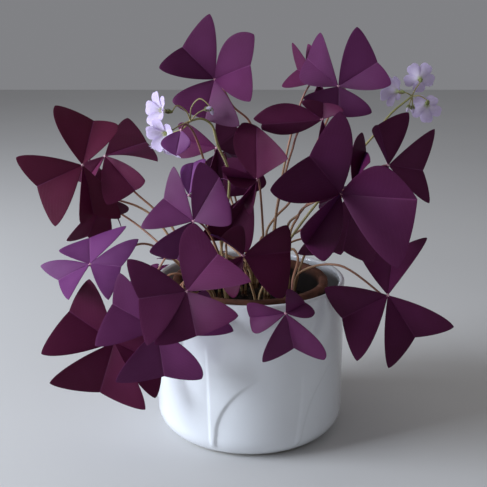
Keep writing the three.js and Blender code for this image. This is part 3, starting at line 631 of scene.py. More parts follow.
def leaf_veins(tree, across, along, drift):
    """1 along each side vein. They are drawn wider than real ones, so that they show."""
    slant = node(tree, "Math", {0: across, 1: VEIN_SLANT}, operation="MULTIPLY")
    steps = node(tree, "Math", {0: along, 1: VEIN_COUNT}, operation="MULTIPLY")
    fan = node(tree, "Math", {0: steps, 1: slant}, operation="ADD")
    wavy = node(tree, "Math", {0: fan, 1: drift}, operation="ADD")
    stripe = node(tree, "Math", {0: wavy, 1: 0.5}, operation="PINGPONG")
    return fading(tree, stripe, 0.0, VEIN_WIDTH)


def leaf_tissue(tree, field, tone, wine):
    base = node(tree, "Mix", {0: tone, 6: "#440f38", 7: "#733b76"}, **OF_COLOURS)
    light = node(tree, "Mix", {0: tone, 6: "#4e1646", 7: "#804882"}, **OF_COLOURS)
    red_base = node(tree, "Mix", {0: wine, 6: base, 7: "#560e26"}, **OF_COLOURS)
    red_light = node(tree, "Mix", {0: wine, 6: light, 7: "#60142e"}, **OF_COLOURS)
    share = node(tree, "Math", {0: field, 1: FIELD_SHARE}, operation="MULTIPLY")
    return node(tree, "Mix", {0: share, 6: red_base, 7: red_light}, **OF_COLOURS)


def leaf_material():
    material, tree, shader = start_material(
        "leaf blade, satin", 0.5, IOR=1.38, Specular_IOR_Level=0.25,
        Sheen_Weight=0.28, Sheen_Roughness=0.3, Sheen_Tint=colour("#7c4ac0"),
    )
    across, along = blade_place(tree)
    tone, wine, under = (
        node(tree, "Attribute", out="Fac", attribute_name=name)
        for name in ("tone", "wine", "under")
    )
    drift = swing(tree, 9, 3)
    blade = leaf_tissue(tree, leaf_field(tree, across, along, drift), tone, wine)
    vein = leaf_veins(tree, across, along, drift)
    rib = fading(tree, across, 0.0, RIB_WIDTH)
    faint = node(tree, "Math", {0: vein, 1: VEIN_SHARE}, operation="MULTIPLY")
    middle = node(tree, "Math", {0: rib, 1: RIB_SHARE}, operation="MULTIPLY")
    lines = node(tree, "Math", {0: faint, 1: middle}, operation="MAXIMUM")
    line_tint = node(tree, "Mix", {0: tone, 6: "#7c3464", 7: "#ae76a8"}, **OF_COLOURS)
    veined = node(tree, "Mix", {0: lines, 6: blade, 7: line_tint}, **OF_COLOURS)
    share = node(tree, "Math", {0: under, 1: UNDER_SHARE}, operation="MULTIPLY")
    base = node(tree, "Mix", {0: share, 6: veined, 7: "#7a2460"}, **OF_COLOURS)
    fine = {0: place_noise(tree, 0.5, 2), 1: GRAIN_SHARE}
    grain = node(tree, "Math", fine, operation="MULTIPLY")
    relief = node(tree, "Math", {0: vein, 1: VEIN_SINK, 2: grain}, operation="MULTIPLY_ADD")
    finish(tree, shader, base, relief, 0.1)
    glow = node(tree, "Mix", {0: tone, 6: "#8c1440", 7: "#b8509c"}, **OF_COLOURS)
    let_light_through(tree, shader, LEAF_GLOW_SHARE, glow)
    return material


LEAF = leaf_material()
print("made the leaf material")

# %% [markdown]
# ### Stalks and petals
#
# Stalks run from olive tan at the soil to wine red under the leaf. Flower stalks stay greener.
# Petals are pale lilac with a green throat and fine darker lines. All of it follows the place
# along the stalk or petal, so nothing has to be painted by hand.

# %% Stalk and petal materials
PETAL_GLOW_SHARE = 0.45
PETAL_FADE, PETAL_LINE_FADE, THROAT_FADE = (0.35, 0.95), (0.5, 0.9), (0.16, 0.42)
PETAL_LINE_SPACING, PETAL_LINE_WIDTH, PETAL_LINE_SHARE = 0.16, 0.035, 0.3


def stalk_material(name, low, middle, high):
    """A fresh stalk, satin and slightly clear: the eye gets a narrow soft line of light."""
    material, tree, shader = start_material(
        name, 0.42, IOR=1.42, Subsurface_Weight=0.08, Subsurface_Scale=0.6 * MM
    )
    cloud = swing(tree, 14, 2)
    spread = node(tree, "Math", {0: uv_place(tree)[1], 1: cloud}, operation="ADD")
    rise = node(tree, "MapRange", {0: spread, 1: 0.0, 2: 0.55}, **SMOOTHLY)
    lower = node(tree, "Mix", {0: rise, 6: low, 7: middle}, **OF_COLOURS)
    end = node(tree, "MapRange", {0: spread, 1: 0.5, 2: 1.0}, **SMOOTHLY)
    base = node(tree, "Mix", {0: end, 6: lower, 7: high}, **OF_COLOURS)
    finish(tree, shader, base, place_noise(tree, 0.8, 2), 0.08)
    return material


def petal_material():
    """Petal tissue, soft matt: it is so thin that the eye sees it lit from both sides."""
    material, tree, shader = start_material("petal, soft matt", 0.55, IOR=1.38, Sheen_Weight=0.15)
    across, along = blade_place(tree)
    out = node(tree, "MapRange", {0: along, 1: PETAL_FADE[0], 2: PETAL_FADE[1]}, **SMOOTHLY)
    lilac = node(tree, "Mix", {0: out, 6: "#f2eaf8", 7: "#e2d4f2"}, **OF_COLOURS)
    stripe = node(tree, "Math", {0: across, 1: PETAL_LINE_SPACING}, operation="PINGPONG")
    line = fading(tree, stripe, 0.0, PETAL_LINE_WIDTH)
    inner = fading(tree, along, *PETAL_LINE_FADE)
    faded = node(tree, "Math", {0: line, 1: inner}, operation="MULTIPLY")
    share = node(tree, "Math", {0: faded, 1: PETAL_LINE_SHARE}, operation="MULTIPLY")
    lined = node(tree, "Mix", {0: share, 6: lilac, 7: "#b49cd6"}, **OF_COLOURS)
    throat = fading(tree, along, *THROAT_FADE)
    base = node(tree, "Mix", {0: throat, 6: lined, 7: "#b9c77a"}, **OF_COLOURS)
    finish(tree, shader, base, place_noise(tree, 0.6, 2), 0.06)
    let_light_through(tree, shader, PETAL_GLOW_SHARE, "#f2eafa")
    return material


def plain_tissue(name, light, dark, roughness, size):
    """Small parts in two drifting shades: the eye gets life in a part of a few millimetres."""
    lumps, bumps = (size, 2), (size * 0.4, 2, 0.08)
    return plain_material(name, light, dark, roughness, lumps, bumps, (0.35, 0.65), IOR=1.4)


STALK = stalk_material("leaf stalk, satin", "#b59a70", "#a4765e", "#7a4450")
SCAPE = stalk_material("flower stalk, satin", "#a89c6c", "#a59a68", "#9a9a60")
PETAL = petal_material()
# Joints and hub bead: pale pink, partly their own colour and partly a painted highlight.
JOINT_TINT_AND_HIGHLIGHT = plain_tissue("leaf joint, satin", "#d9b3bd", "#a8657c", 0.4, 1.5)
ROOT = plain_tissue("root scale, matt", "#8a6a4a", "#5a3c28", 0.85, 2.5)
CALYX = plain_tissue("sepal, satin", "#8fa05a", "#7a6a4c", 0.5, 1.6)
STAMEN = plain_tissue("stamen, matt", "#dfe3a8", "#c9cf7e", 0.6, 0.8)
print("made", len(bpy.data.materials), "materials so far")

# %% [markdown]
# ### Pots and soil
#
# The cachepot has a clear glaze over a white body: a smooth coat over a slightly uneven base.
# Clay is rough, mottled and paler where salts dried on it, and almost black below its rim,
# partly where the soil keeps it damp and partly as painted shade down inside the pot. Soil is
# almost black and grainy. The dark follows the height above the floor: water soaks into clay
# from the soil and dries off towards the rim, and shade fills the pot below the rim.

# %% Glaze, clay and soil materials
DAMP_AND_SHADE_TOP, SALT_EDGES, SALT_SHARE = (114.0, 119.5), (0.58, 0.78), 0.45


def clay_material():
    """Fired clay, unglazed: the eye gets a dry, blotched surface without any highlight."""
    material, tree, shader = start_material(
        "terracotta, unglazed", 0.9, IOR=1.5, Specular_IOR_Level=0.25
    )
    body = mottled(tree, 11, 4, "#6a4233", "#4c2f25", (0.3, 0.7))
    spots = {0: place_noise(tree, 6, 5, 1.2), 1: SALT_EDGES[0], 2: SALT_EDGES[1]}
    salts = node(tree, "MapRange", spots, **SMOOTHLY)
    share = node(tree, "Math", {0: salts, 1: SALT_SHARE}, operation="MULTIPLY")
    salted = node(tree, "Mix", {0: share, 6: body, 7: "#8c7062"}, **OF_COLOURS)
    # Painted shade and damp: below about 114 mm the clay turns almost black, partly damp from the soil and
    # partly shade inside the pot.
    place = node(tree, "TexCoord", out="Object")
    height = node(tree, "SeparateXYZ", {0: place}, out=2)
    wave = {0: place_noise(tree, 16, 2), 1: 5 * MM, 2: height}
    damp_and_shade_line = node(tree, "Math", wave, operation="MULTIPLY_ADD")
    dry = node(tree, "MapRange", {0: damp_and_shade_line, 1: DAMP_AND_SHADE_TOP[0] * MM, 2: DAMP_AND_SHADE_TOP[1] * MM}, **SMOOTHLY)
    base = node(tree, "Mix", {0: dry, 6: "#140c09", 7: salted}, **OF_COLOURS)
    finish(tree, shader, base, place_noise(tree, 0.9, 4), 0.25)
    return material


# Glazed ceramic: the coat gives the eye crisp reflections over a softer white.
GLAZE = plain_material(
    "white glazed ceramic, glossy", "#e4e7ea", "#dcdfe4", 0.22, (35, 3), (12, 2, 0.12),
    IOR=1.5, Coat_Weight=0.7, Coat_Roughness=0.06,
)
# Bare fired body under the foot: the eye gets a matt, slightly warmer ring.
BISQUE = plain_material(
    "unglazed foot, matt", "#cfc8bb", "#b9b1a3", 0.8, (3, 3), (0.6, 3, 0.1), IOR=1.5
)
CLAY = clay_material()
# Moist potting soil: the eye gets almost black, with grains that catch no light.
SOIL = plain_material(
    "potting soil, moist", "#120d0a", "#281d15", 0.9, (2.2, 4), (0.8, 4, 0.5), (0.3, 0.7), IOR=1.4
)
# Crumbs of bark: the eye gets browner specks that tell the soil's scale.
GRAIN = plain_tissue("bark crumb, matt", "#32251a", "#17100b", 0.9, 2.0)
print("made", len(bpy.data.materials), "materials in all")

# %% [markdown]
# ## Leaves
#
# A leaflet is two half blades, each from the hub to a rounded tip, that meet in the midrib. The
# formula is the one that shaped the solid, here with many more steps, a gentle waviness and a
# finely sunk midrib. Sculpting more than eighty leaflets would take long, and one formula gives
# them a family likeness.

# %% Leaflets
HALF_STEPS = np.array(
    [0, 0.03, 0.08, 0.16, 0.26, 0.37, 0.48, 0.59, 0.7, 0.79, 0.86, 0.92, 0.965, 1]
)
ACROSSES = np.concatenate([-HALF_STEPS[:0:-1], HALF_STEPS])
ALONGS = 1 - (1 - np.linspace(0, 1, 21)) ** 1.25
MIDRIB = len(HALF_STEPS) - 1
LEAF_THICKNESS = 0.5
LEAFLET_SPREAD = math.radians(37)
WAVE_HEIGHT, RIB_DEPTH, RIB_HALF_WIDTH = 0.35, 0.22, 0.06


def folded_notch(hub, tips, facing, size):
    middle = (tips[0] + tips[1]) / 2
    return middle + (hub - middle) * BLADE["notch"] - facing * BLADE["fold"] * size


def notch_seen(hub, facing, place, size, lean):
    sight = unit(np.array([place[0], 0.0, place[1]]) - VIEWPOINT)
    to_fold = (hub - facing * BLADE["fold"] * size - VIEWPOINT) @ facing
    notch = VIEWPOINT + sight * to_fold / (sight @ facing)
    longest = BLADE["longestRib"] * size
    if np.linalg.norm(notch - hub) < longest:
        return notch
    return reach(hub, place, longest, lean)


def leaflet_seen(hub, places, size, lean):
    tips = [reach(hub, place, size, lean) for place in places[:2]]
    facing = unit(np.cross(tips[0] - hub, tips[1] - hub))
    if facing @ (VIEWPOINT - hub) < 0:
        facing = -facing
    bows = [place[3] if len(place) > 3 else BLADE["bow"] for place in places[:2]]
    if len(places) > 2:
        return tips, notch_seen(hub, facing, places[2], size, lean), facing, bows
    return tips, folded_notch(hub, tips, facing, size), facing, bows


def leaflet_around(hub, axis, angle, droop, size):
    sideways = unit(np.cross([0.0, 0.0, 1.0], axis))
    drop = math.radians(droop)
    tips = []
    for spread in (-LEAFLET_SPREAD, LEAFLET_SPREAD):
        out = turned(sideways, axis, angle + spread) * math.cos(drop)
        tips.append(hub + (out - axis * math.sin(drop)) * size)
    return tips, folded_notch(hub, tips, axis, size), axis, [BLADE["bow"]] * 2


def half_blade(hub, tip, notch, facing, bow, size, a, s):
    side, rib, end = tip - hub, notch - hub, tip - notch
    forward = unit(rib)
    upward = unit(np.cross(rib, side))
    if upward @ facing < 0:
        upward = -upward
    outward = unit(side - forward * (side @ forward))
    pull = unit(unit(side) + unit(end)) * BLADE["tip"] * size
    swell = 4 * a * (1 - a)
    reached = a * s
    return (
        hub
        + rib * a * (1 - s)
        + side * reached
        + outward * bow * size * swell * s
        + forward * BLADE["lobe"] * size * 4 * s * (1 - s) * a**2
        + facing * BLADE["ribArch"] * size * swell * (1 - s)
        + upward * BLADE["arch"] * size * swell * s
        + pull * (reached - reached**8)
    )


def leaflet(shape, hub, form, size, phase):
    tips, notch, facing, bows = form
    a = ALONGS[:, None, None]
    s = np.abs(ACROSSES)[None, :, None]
    halves = [half_blade(hub, tip, notch, facing, bow, size, a, s) for tip, bow in zip(tips, bows)]
    grid = np.where((ACROSSES < 0)[None, :, None], halves[0], halves[1])
    wave = np.sin(phase + a * 5 + s * 3) * np.sin(phase * 1.7 + ACROSSES[None, :, None] * 4)
    grid = grid + facing * WAVE_HEIGHT * wave * a * s
    grid = grid - facing * RIB_DEPTH * (1 - s / RIB_HALF_WIDTH).clip(0) * a * (1 - a) * 4
    thin_sheet(shape, grid, ACROSSES, ALONGS, LEAF_THICKNESS, facing, rib=MIDRIB)


# %% [markdown]
# The leaflets share a hub on short, pale, swollen joints, which let a living leaf fold up at
# night. The joints are short tubes, and a bead hides the place where they meet. Their pale pink
# is partly their own colour and partly a painted highlight where the leaflets meet.

# %% Whole leaves
JOINT_PLACES, JOINT_RADII, JOINT_DEPTH = (0.2, 1.0, 1.9, 2.8), (0.75, 0.8, 0.6, 0.35), 0.35
HUB_RADII, HUB_DEPTH = (1.15, 0.9), 0.3


def joint(shape, hub, notch, facing):
    way = unit(notch - hub)
    start = hub - facing * JOINT_DEPTH
    path = np.array([start + way * d for d in JOINT_PLACES])
    tube(shape, path, JOINT_RADII, 8, mark=1)


def leaf_forms(leaf):
    size = leaf["size"]
    if "at" in leaf:
        hub = np.array(leaf["at"], dtype=float)
        axis = unit(np.array(leaf["axis"], dtype=float))
        angles = [math.radians(leaf["turn"] + 120 * k) for k in range(3)]
        return hub, [leaflet_around(hub, axis, angle, leaf["droop"], size) for angle in angles]
    hub = seen(leaf["hub"], leaf["near"])
    return hub, [leaflet_seen(hub, places, size, leaf["lean"]) for places in leaf["leaflets"]]


def make_leaf(leaf):
    shape = Shape()
    hub, forms = leaf_forms(leaf)
    for form in forms:
        leaflet(shape, hub, form, leaf["size"], random.uniform(0, 6.3))
        joint(shape, hub, form[1], form[2])
    facing = unit(sum(form[2] for form in forms))
    ball(shape, hub - facing * HUB_DEPTH, HUB_RADII, facing, mark=1)
    tone, wine = leaf["look"]
    values = {"tone": tone, "wine": wine, "under": shape.under}
    name = "leaf_" + leaf["name"]
    piece("fine_" + name, shape, [LEAF, JOINT_TINT_AND_HIGHLIGHT], [name], values=values)
    return {"hub": hub, "facing": facing, "crown": leaf["crown"], "via": leaf["via"]}


grown = [make_leaf(leaf) for leaf in LEAVES + BACK_LEAVES]
print("made", len(grown), "leaves")

# %% [markdown]
# ## Soil surface
#
# The soil is a little domed and lumpy. It could be sculpted, but a height formula can also be
# asked where the soil is, and so it sets the feet of the stalks.

# %% The soil's height
def inner_radius(height):
    t = TERRACOTTA
    share = (height - t["floor"] - t["seat"]) / (t["height"] - t["floor"])
    start, end = t["baseRadius"] - t["rimStep"], t["rimRadius"] - t["wall"]
    return start + (end - start) * share


def soil_height(x, y):
    spread = math.hypot(x, y) / (inner_radius(SOIL_SIZE["top"]) - SEAT_GAP)
    lumps = math.sin(x * 0.33 + 1) * math.cos(y * 0.29) + math.sin(x * 0.17 - y * 0.41)
    dome = SOIL_SIZE["top"] + SOIL_SIZE["dome"] * (1 - spread**2)
    return dome + SOIL_SIZE["lump"] * lumps * (1 - spread**6)


def soil_point(place):
    return np.array([place[0], place[1], soil_height(*place)], dtype=float)


# %% [markdown]
# ## Stalks
#
# Each stalk leaves its crown, passes the places it is seen at or else the pot's lip, and meets
# its leaf from behind. It tapers upwards, and a dry sheath wraps its foot. A smooth curve
# through a few places bends as a grown stalk does under the weight of its leaf.

# %% The way a stalk takes
END_DEPTH = 0.6


def over_the_lip(foot, end):
    start, way = foot[:2], end[:2] - foot[:2]
    along, missing = start @ way, start @ start - OVER_LIP["radius"] ** 2
    share = (math.sqrt(along**2 - way @ way * missing) - along) / (way @ way)
    return np.array([*(start + way * share), OVER_LIP["height"]])


def stalk_path(leaf):
    hub, facing = leaf["hub"], leaf["facing"]
    foot = soil_point(CROWNS[leaf["crown"]])
    end = hub - facing * (HUB_RADIUS + SEAT_GAP)
    lean = end - foot
    lean[2] = 0
    lean = unit(lean) * KNOT["radius"] * KNOT["foot"]
    foot = foot + lean
    passed = []
    if leaf["via"]:
        passed = all_seen(leaf["via"])
    elif end[2] < OVER_LIP["below"] and math.hypot(end[0], end[1]) > CACHEPOT["radius"]:
        passed = [over_the_lip(foot, end)]
    if passed:
        rise = foot + lean * GUIDED["lean"]
        rise[2] = foot[2] + GUIDED["rise"]
        behind = end - facing * GUIDED["approach"]
        path = through([foot, rise, *passed, behind, end], 10)
    else:
        span = np.linalg.norm(end - foot)
        rise = foot + lean * FREE["lean"]
        rise[2] = foot[2] + span * FREE["rise"]
        path = bezier([foot, rise, end - facing * span * FREE["approach"], end], 44)
    return np.array([*path, hub - facing * END_DEPTH])


# %% Tufts of stalks
KNOT_END = 0.4
KNOT_RADII = (1.4, 3.1, 2.9, 1.2)
SHEATH_LENGTH, SHEATH_RADII = 7.0, (1.75, 1.0)
STALK_RADIUS, STALK_TAPER, STALK_SWELL, SWELL_START = 1.05, 0.35, 0.3, 0.985


def crown_knot(shape, place, mark):
    """A knot of roots, most of it sunk in the soil."""
    top = soil_point(place)
    low = -KNOT["depth"] + KNOT["rise"] + KNOT_END
    heights = np.linspace(low, KNOT["rise"] - KNOT_END, 8)
    path = np.array([top + [0, 0, h] for h in heights])
    radii = np.interp(heights, [heights[0], -3, 0, heights[-1]], KNOT_RADII)
    tube(shape, path, radii, 14, mark)


def sheath(shape, path, mark):
    length = np.linalg.norm(np.diff(path, axis=0), axis=1).cumsum()
    count = max(int(np.searchsorted(length, SHEATH_LENGTH)), 2) + 1
    tube(shape, path[:count], np.linspace(*SHEATH_RADII, count), 8, mark)


def make_tuft(crown, place):
    leaves = [leaf for leaf in grown if leaf["crown"] == crown]
    if not leaves:
        return 0
    shape = Shape()
    crown_knot(shape, place, 1)
    for leaf in leaves:
        path = stalk_path(leaf)
        steps = np.linspace(0, 1, len(path))
        radii = STALK_RADIUS - STALK_TAPER * steps + STALK_SWELL * (steps > SWELL_START)
        tube(shape, path, radii, 10)
        sheath(shape, path, 1)
    name = "stalks_" + crown
    piece("fine_" + name, shape, [STALK, ROOT], [name])
    return len(leaves)


counts = [make_tuft(crown, place) for crown, place in CROWNS.items()]
print("made", sum(counts), "leaf stalks")

# %% [markdown]
# ## Flowers
#
# A bloom is a funnel of five overlapping petals, each a little notched at its rounded tip, with
# ten stamens round a short style. It sits in a green cup of five pointed sepals. One petal
# could be modelled and copied round, but from a formula each petal is ruffled in its own way.

# %% Blooms
PETAL_ACROSS = np.linspace(-1, 1, 13)
PETAL_ALONG = np.linspace(0, 1, 13)
PETAL_THICKNESS, PETAL_LAP = 0.3, 1.16
NOTCH_DEPTH, NOTCH_HALF_WIDTH = 0.035, 0.16
STAMENS, STAMEN_HEIGHTS, STYLE_HEIGHT = 10, (4.4, 6.2), 5.2
THROAT_RADII = (0.95, 1.15, 1.3)
PETAL_BELLY, PETAL_CUP, PETAL_TWIST, PETAL_RUFFLE = 0.9, 0.55, 0.35, 0.25
FILAMENT_RADII, ANTHER_RADII, STYLE_RADII = (0.14, 0.12, 0.1), (0.26, 0.42), (0.4, 0.28, 0.2)


def around(axis, sideways, angles):
    return np.array([turned(sideways, axis, angle) for angle in angles])[None, :, :]


def petal(shape, base, axis, sideways, centre):
    a = PETAL_ALONG[:, None, None]
    s = PETAL_ACROSS[None, :, None]
    notch = NOTCH_DEPTH * np.exp(-((s / NOTCH_HALF_WIDTH) ** 2))
    along = a * (BLOOM_RIM[0] + (1 - BLOOM_RIM[0]) * (1 - np.abs(s) ** 3.2) - notch)
    out = around(axis, sideways, centre + PETAL_ACROSS * math.pi / BLOOM["petals"] * PETAL_LAP)
    flare = BLOOM["flare"]
    height = BLOOM["length"] * (1 - (1 - along) ** flare)
    spread = BLOOM["radius"] * along**flare + PETAL_BELLY * a**0.5 * (1 - a)
    cup = PETAL_CUP * s**2 * a - PETAL_TWIST * s * a
    ruffle = PETAL_RUFFLE * np.sin(3 * s + centre * 5) * a**2
    grid = base + out * spread + axis * (height + cup + ruffle)
    thin_sheet(shape, grid, PETAL_ACROSS, PETAL_ALONG, PETAL_THICKNESS, -axis)


def stamens(shape, base, axis, sideways):
    for k in range(STAMENS):
        out = turned(sideways, axis, 2 * math.pi * k / STAMENS)
        tall = STAMEN_HEIGHTS[k % 2]
        rise = ((0.5, 0.6), (0.9, tall * 0.6), (1.15, tall))
        path = np.array([base + out * radius + axis * height for radius, height in rise])
        tube(shape, path, FILAMENT_RADII, 5, 1)
        ball(shape, path[-1] + axis * 0.25, ANTHER_RADII, axis, 1, rings=4, sides=6)
    style = np.array([base, base + axis * 3, base + axis * STYLE_HEIGHT])
    tube(shape, style, STYLE_RADII, 6, 1)


def make_bloom(name, base, axis):
    shape = Shape()
    sideways = unit(np.cross([0.3, 0.2, 1.0], axis))
    for k in range(BLOOM["petals"]):
        petal(shape, base, axis, sideways, 2 * math.pi * (k + 0.5) / BLOOM["petals"])
    stamens(shape, base, axis, sideways)
    throat = np.array([base + axis * h for h in (-BLOOM["throatDepth"] + 0.05, 0.2, 1.4)])
    tube(shape, throat, THROAT_RADII, 12, 2)
    piece("fine_" + name, shape, [PETAL, STAMEN, CALYX], [name])


# %% [markdown]
# Sepals hug the foot of the bloom, and unopened buds hang on shorter stalks. A bud is a bead in
# the same cup of sepals, because at this size beads, tubes and thin sheets show all there is.

# %% Umbels
SEPALS, SEPAL_THICKNESS, SEPAL_SPREAD = 5, 0.25, 0.55
SEPAL_ACROSS, SEPAL_ALONG = np.linspace(-1, 1, 5), np.linspace(0, 1, 7)
CUP_RADII, CUP_TOP = (0.5, 0.95, 1.35, 1.3), 0.05
CUP_SEAT, CUP_SEPALS, BUD_SEAT, BUD_SEPALS = 0.6, 4.2, 3.1, 3.4
BUD_RADII, KNUCKLE_RADII, SCAPE_RADII = (1.35, 3.0), (1.25, 1.0), (1.15, 0.75)
BLOOM_STALK_RADII, BUD_STALK_RADII = (0.55, 0.45), (0.5, 0.4)


def sepals(shape, seat, axis, length):
    sideways = unit(np.cross([0.2, 0.5, 1.0], axis))
    a = SEPAL_ALONG[:, None, None]
    wide = (1 - a**2.2) ** 0.8
    radius = 1.75 - 1.2 * (1 - a) ** 3
    for k in range(SEPALS):
        angle = 2 * math.pi * k / SEPALS
        out = around(axis, sideways, angle + SEPAL_ACROSS * SEPAL_SPREAD)
        middle = turned(sideways, axis, angle)
        blend = middle + (out - middle) * wide
        grid = seat + blend * radius + axis * length * a
        thin_sheet(shape, grid, SEPAL_ACROSS, SEPAL_ALONG, SEPAL_THICKNESS, middle, mark=1)


def bud(shape, top, direction):
    ball(shape, top, BUD_RADII, direction, 3, rings=10)
    sepals(shape, top - direction * BUD_SEAT, direction, BUD_SEPALS)


def stalk_between(shape, top, places, end, radii):
    way = through([top, *all_seen(places), end], 8)
    tube(shape, way, np.linspace(*radii, len(way)), 8)
    return way


def bloom_in_cup(shape, name, top, places, base, axis):
    base, axis = seen(base, base[2]), unit(np.array(axis, dtype=float))
    calyx = base - axis * (BLOOM["throatDepth"] + SEAT_GAP) - axis * CALYX_DEPTH
    stalk_between(shape, top, places, calyx, BLOOM_STALK_RADII)
    cup = np.array([calyx + axis * d for d in (-0.5, 0.4, 1.3, CALYX_DEPTH - CUP_TOP)])
    tube(shape, cup, CUP_RADII, 12, 1)
    sepals(shape, calyx + axis * CUP_SEAT, axis, CUP_SEPALS)
    make_bloom(name, base, axis)


def make_umbel(name, crown, node_place, via, pedicels, buds):
    shape = Shape()
    foot = soil_point(CROWNS[crown])
    *passed, top = all_seen([*via, node_place])
    path = through([foot, foot + [0, 0, SCAPE_RISE], *passed, top], 14)
    tube(shape, path, np.linspace(*SCAPE_RADII, len(path)), 10)
    sheath(shape, path, 2)
    crown_knot(shape, CROWNS[crown], 2)
    ball(shape, top, KNUCKLE_RADII, path[-1] - path[-2], 0)
    for k, (places, base, axis) in enumerate(pedicels):
        bloom_in_cup(shape, f"bloom_{name}_{k + 1}", top, places, base, axis)
    for *places, tip in buds:
        tip = seen(tip, tip[2])
        way = stalk_between(shape, top, places, tip, BUD_STALK_RADII)
        bud(shape, tip, unit(way[-1] - way[-4]))
    name = "flower_stalk_" + name
    piece("fine_" + name, shape, [SCAPE, CALYX, ROOT, PETAL], [name])
    return len(pedicels)


blooms = [make_umbel(*umbel) for umbel in UMBELS]
print("made", sum(blooms), "blooms on", len(blooms), "flower stalks")

# %% [markdown]
# ## Pots
#
# Both pots are turned shapes: a profile of radius and height swept round the upright axis. The
# Screw modifier does the same. Swept by a formula, each point can also be moved a little in or
# out, for relief and for wear.

# %% Turned shapes
def turned_shape(profile, segments, move, marked_rows=()):
    """Sweeps a profile that starts and ends on the axis. `move` may shift radius and height."""
    shape = Shape()
    radius, height = np.array(profile[1:-1], dtype=float).T
    rows = len(radius)
    angle = 2 * np.pi * np.arange(segments)[None, :] / segments
    r = np.repeat(radius[:, None], segments, axis=1)
    h = np.repeat(height[:, None], segments, axis=1)
    r, h = move(angle, r, h)
    points = np.stack([r * np.sin(angle), -r * np.cos(angle), h], axis=2).reshape(-1, 3).tolist()
    uvs = [(j / segments, i / rows) for i in range(rows) for j in range(segments)]
    points += [[0, 0, profile[0][1]], [0, 0, profile[-1][1]]]
    uvs += [(0.5, 0.0), (0.5, 1.0)]
    start, last, end = rows * segments, (rows - 1) * segments, rows * segments + 1
    ring = [(j, (j + 1) % segments) for j in range(segments)]
    faces, marks = [], []
    for i in range(rows - 1):
        low, high = i * segments, (i + 1) * segments
        faces += [(low + j, low + k, high + k, high + j) for j, k in ring]
        marks += [1 if i in marked_rows else 0] * segments
    for j, k in ring:
        faces += [(start, k, j), (end, last + j, last + k)]
        marks += [0, 0]
    shape.add(points, uvs, faces)
    shape.marks = marks
    return shape


def arc(centre, radius, start, end, steps):
    angles = np.radians(np.linspace(start, end, steps + 1))
    return [[centre[0] + radius * math.cos(t), centre[1] + radius * math.sin(t)] for t in angles]


def line(start, end, steps):
    """Points from start towards end, without the ends themselves."""
    shares = np.linspace(0, 1, steps + 1)[1:-1]
    return [[a + (b - a) * t for a, b in zip(start, end)] for t in shares]


# %% [markdown]
# The cachepot's wall carries grass blades in low relief. Each is a low bank between a straight
# edge and a curved one, highest along the straight edge and sinking back away from it. A bump
# map would only shade them. The wall itself is moved, so they show at the pot's outline too.

# %% The cachepot
POT_SEGMENTS = 400
BARE_FOOT_ROWS = range(2, 6)
RELIEF_ZONE, WALL_BAND = (10, 100), 3
STRAIGHT_EDGE, CURVED_EDGE = (-0.7, 0.7), (-0.3, 1.5)
FOOT_GROOVE = ((48.0, 0.0), (49.0, 0.35), (50.5, 0.0))
BLADE_TOP_FADE = 22


def smooth(value, low, high):
    t = np.clip((value - low) / (high - low), 0, 1)
    return t * t * (3 - 2 * t)


def curve_side(curve, around, up):
    """Distance to a rising curve, counted positive on its upper left side."""
    away = np.full(np.broadcast(around, up).shape, 1e3)
    for x, y in curve:
        away = np.minimum(away, np.hypot(around - x, up - y))
    beyond = np.interp(up, curve[:, 1], curve[:, 0])
    return np.where((around < beyond) | (up > curve[-1, 1]), away, -away)


def ridge_lift(angle, height):
    """How far the wall stands out, at an angle round from the front and a height."""
    lift = np.zeros(np.broadcast(angle, height).shape)
    round_mm = CACHEPOT["radius"] * math.pi / 180
    foot = smooth(height, *RELIEF_FOOT)
    for grass in RELIEF_BLADES:
        straight, curved = [
            through([[a * round_mm, h, 0.0] for a, h in grass[side]], 24)[:, :2]
            for side in ("straight", "curved")
        ]
        tip = straight[-1, 1]
        top_fade = 1 - smooth(height, tip - BLADE_TOP_FADE, tip)
        for turn in range(RELIEF_REPEATS):
            degrees = np.degrees(angle) - 360 * turn / RELIEF_REPEATS
            around = ((degrees + 180) % 360 - 180) * round_mm + 0 * height
            away = around - np.interp(height, straight[:, 1], straight[:, 0])
            beside = smooth(curve_side(curved, around, height), *CURVED_EDGE)
            bank = smooth(away, *STRAIGHT_EDGE) * beside
            fade = (1 - smooth(away, *RELIEF_FADE)) * top_fade
            lift = np.maximum(lift, grass["height"] * bank * fade * foot)
    return lift


def cachepot_profile():
    c = CACHEPOT
    lip, inside, bend = c["wall"] / 2, c["radius"] - c["wall"], c["heel"] - c["wall"]
    low = arc([c["radius"] - c["heel"], c["heel"]], c["heel"], -90, 0, 12)
    top = arc([c["radius"] - lip, c["height"] - lip], lip, 0, 180, 12)
    deep = arc([inside - bend, c["floor"] + bend], bend, 0, -90, 8)
    outer = [[0, 0], *FOOT_GROOVE, *low, *line(low[-1], top[0], 110)]
    return [*outer, *top, *line(top[-1], deep[0], 12), *deep, [0, c["floor"]]]


def raise_relief(angle, radius, height):
    low, high = RELIEF_ZONE
    on_wall = (radius > CACHEPOT["radius"] - WALL_BAND) & (height > low) & (height < high)
    return radius + np.where(on_wall, ridge_lift(angle, height), 0), height


pot = turned_shape(cachepot_profile(), POT_SEGMENTS, raise_relief, BARE_FOOT_ROWS)
piece("fine_cachepot", pot, [GLAZE, BISQUE], ["cachepot"], crisp_angle=60)
print("made the cachepot with", len(pot.faces), "faces")

# %% [markdown]
# The clay pot inside is coarser: its rim is rounded by wear, and two sizes of noise push its
# wall in or out by up to a quarter of a millimetre. Left perfectly even, it would look new.

# %% The clay pot
CLAY_SEGMENTS = 144
DENTS = ((0.06, 0.22), (0.45, 0.1))
DEEPEST_DENT = 0.25


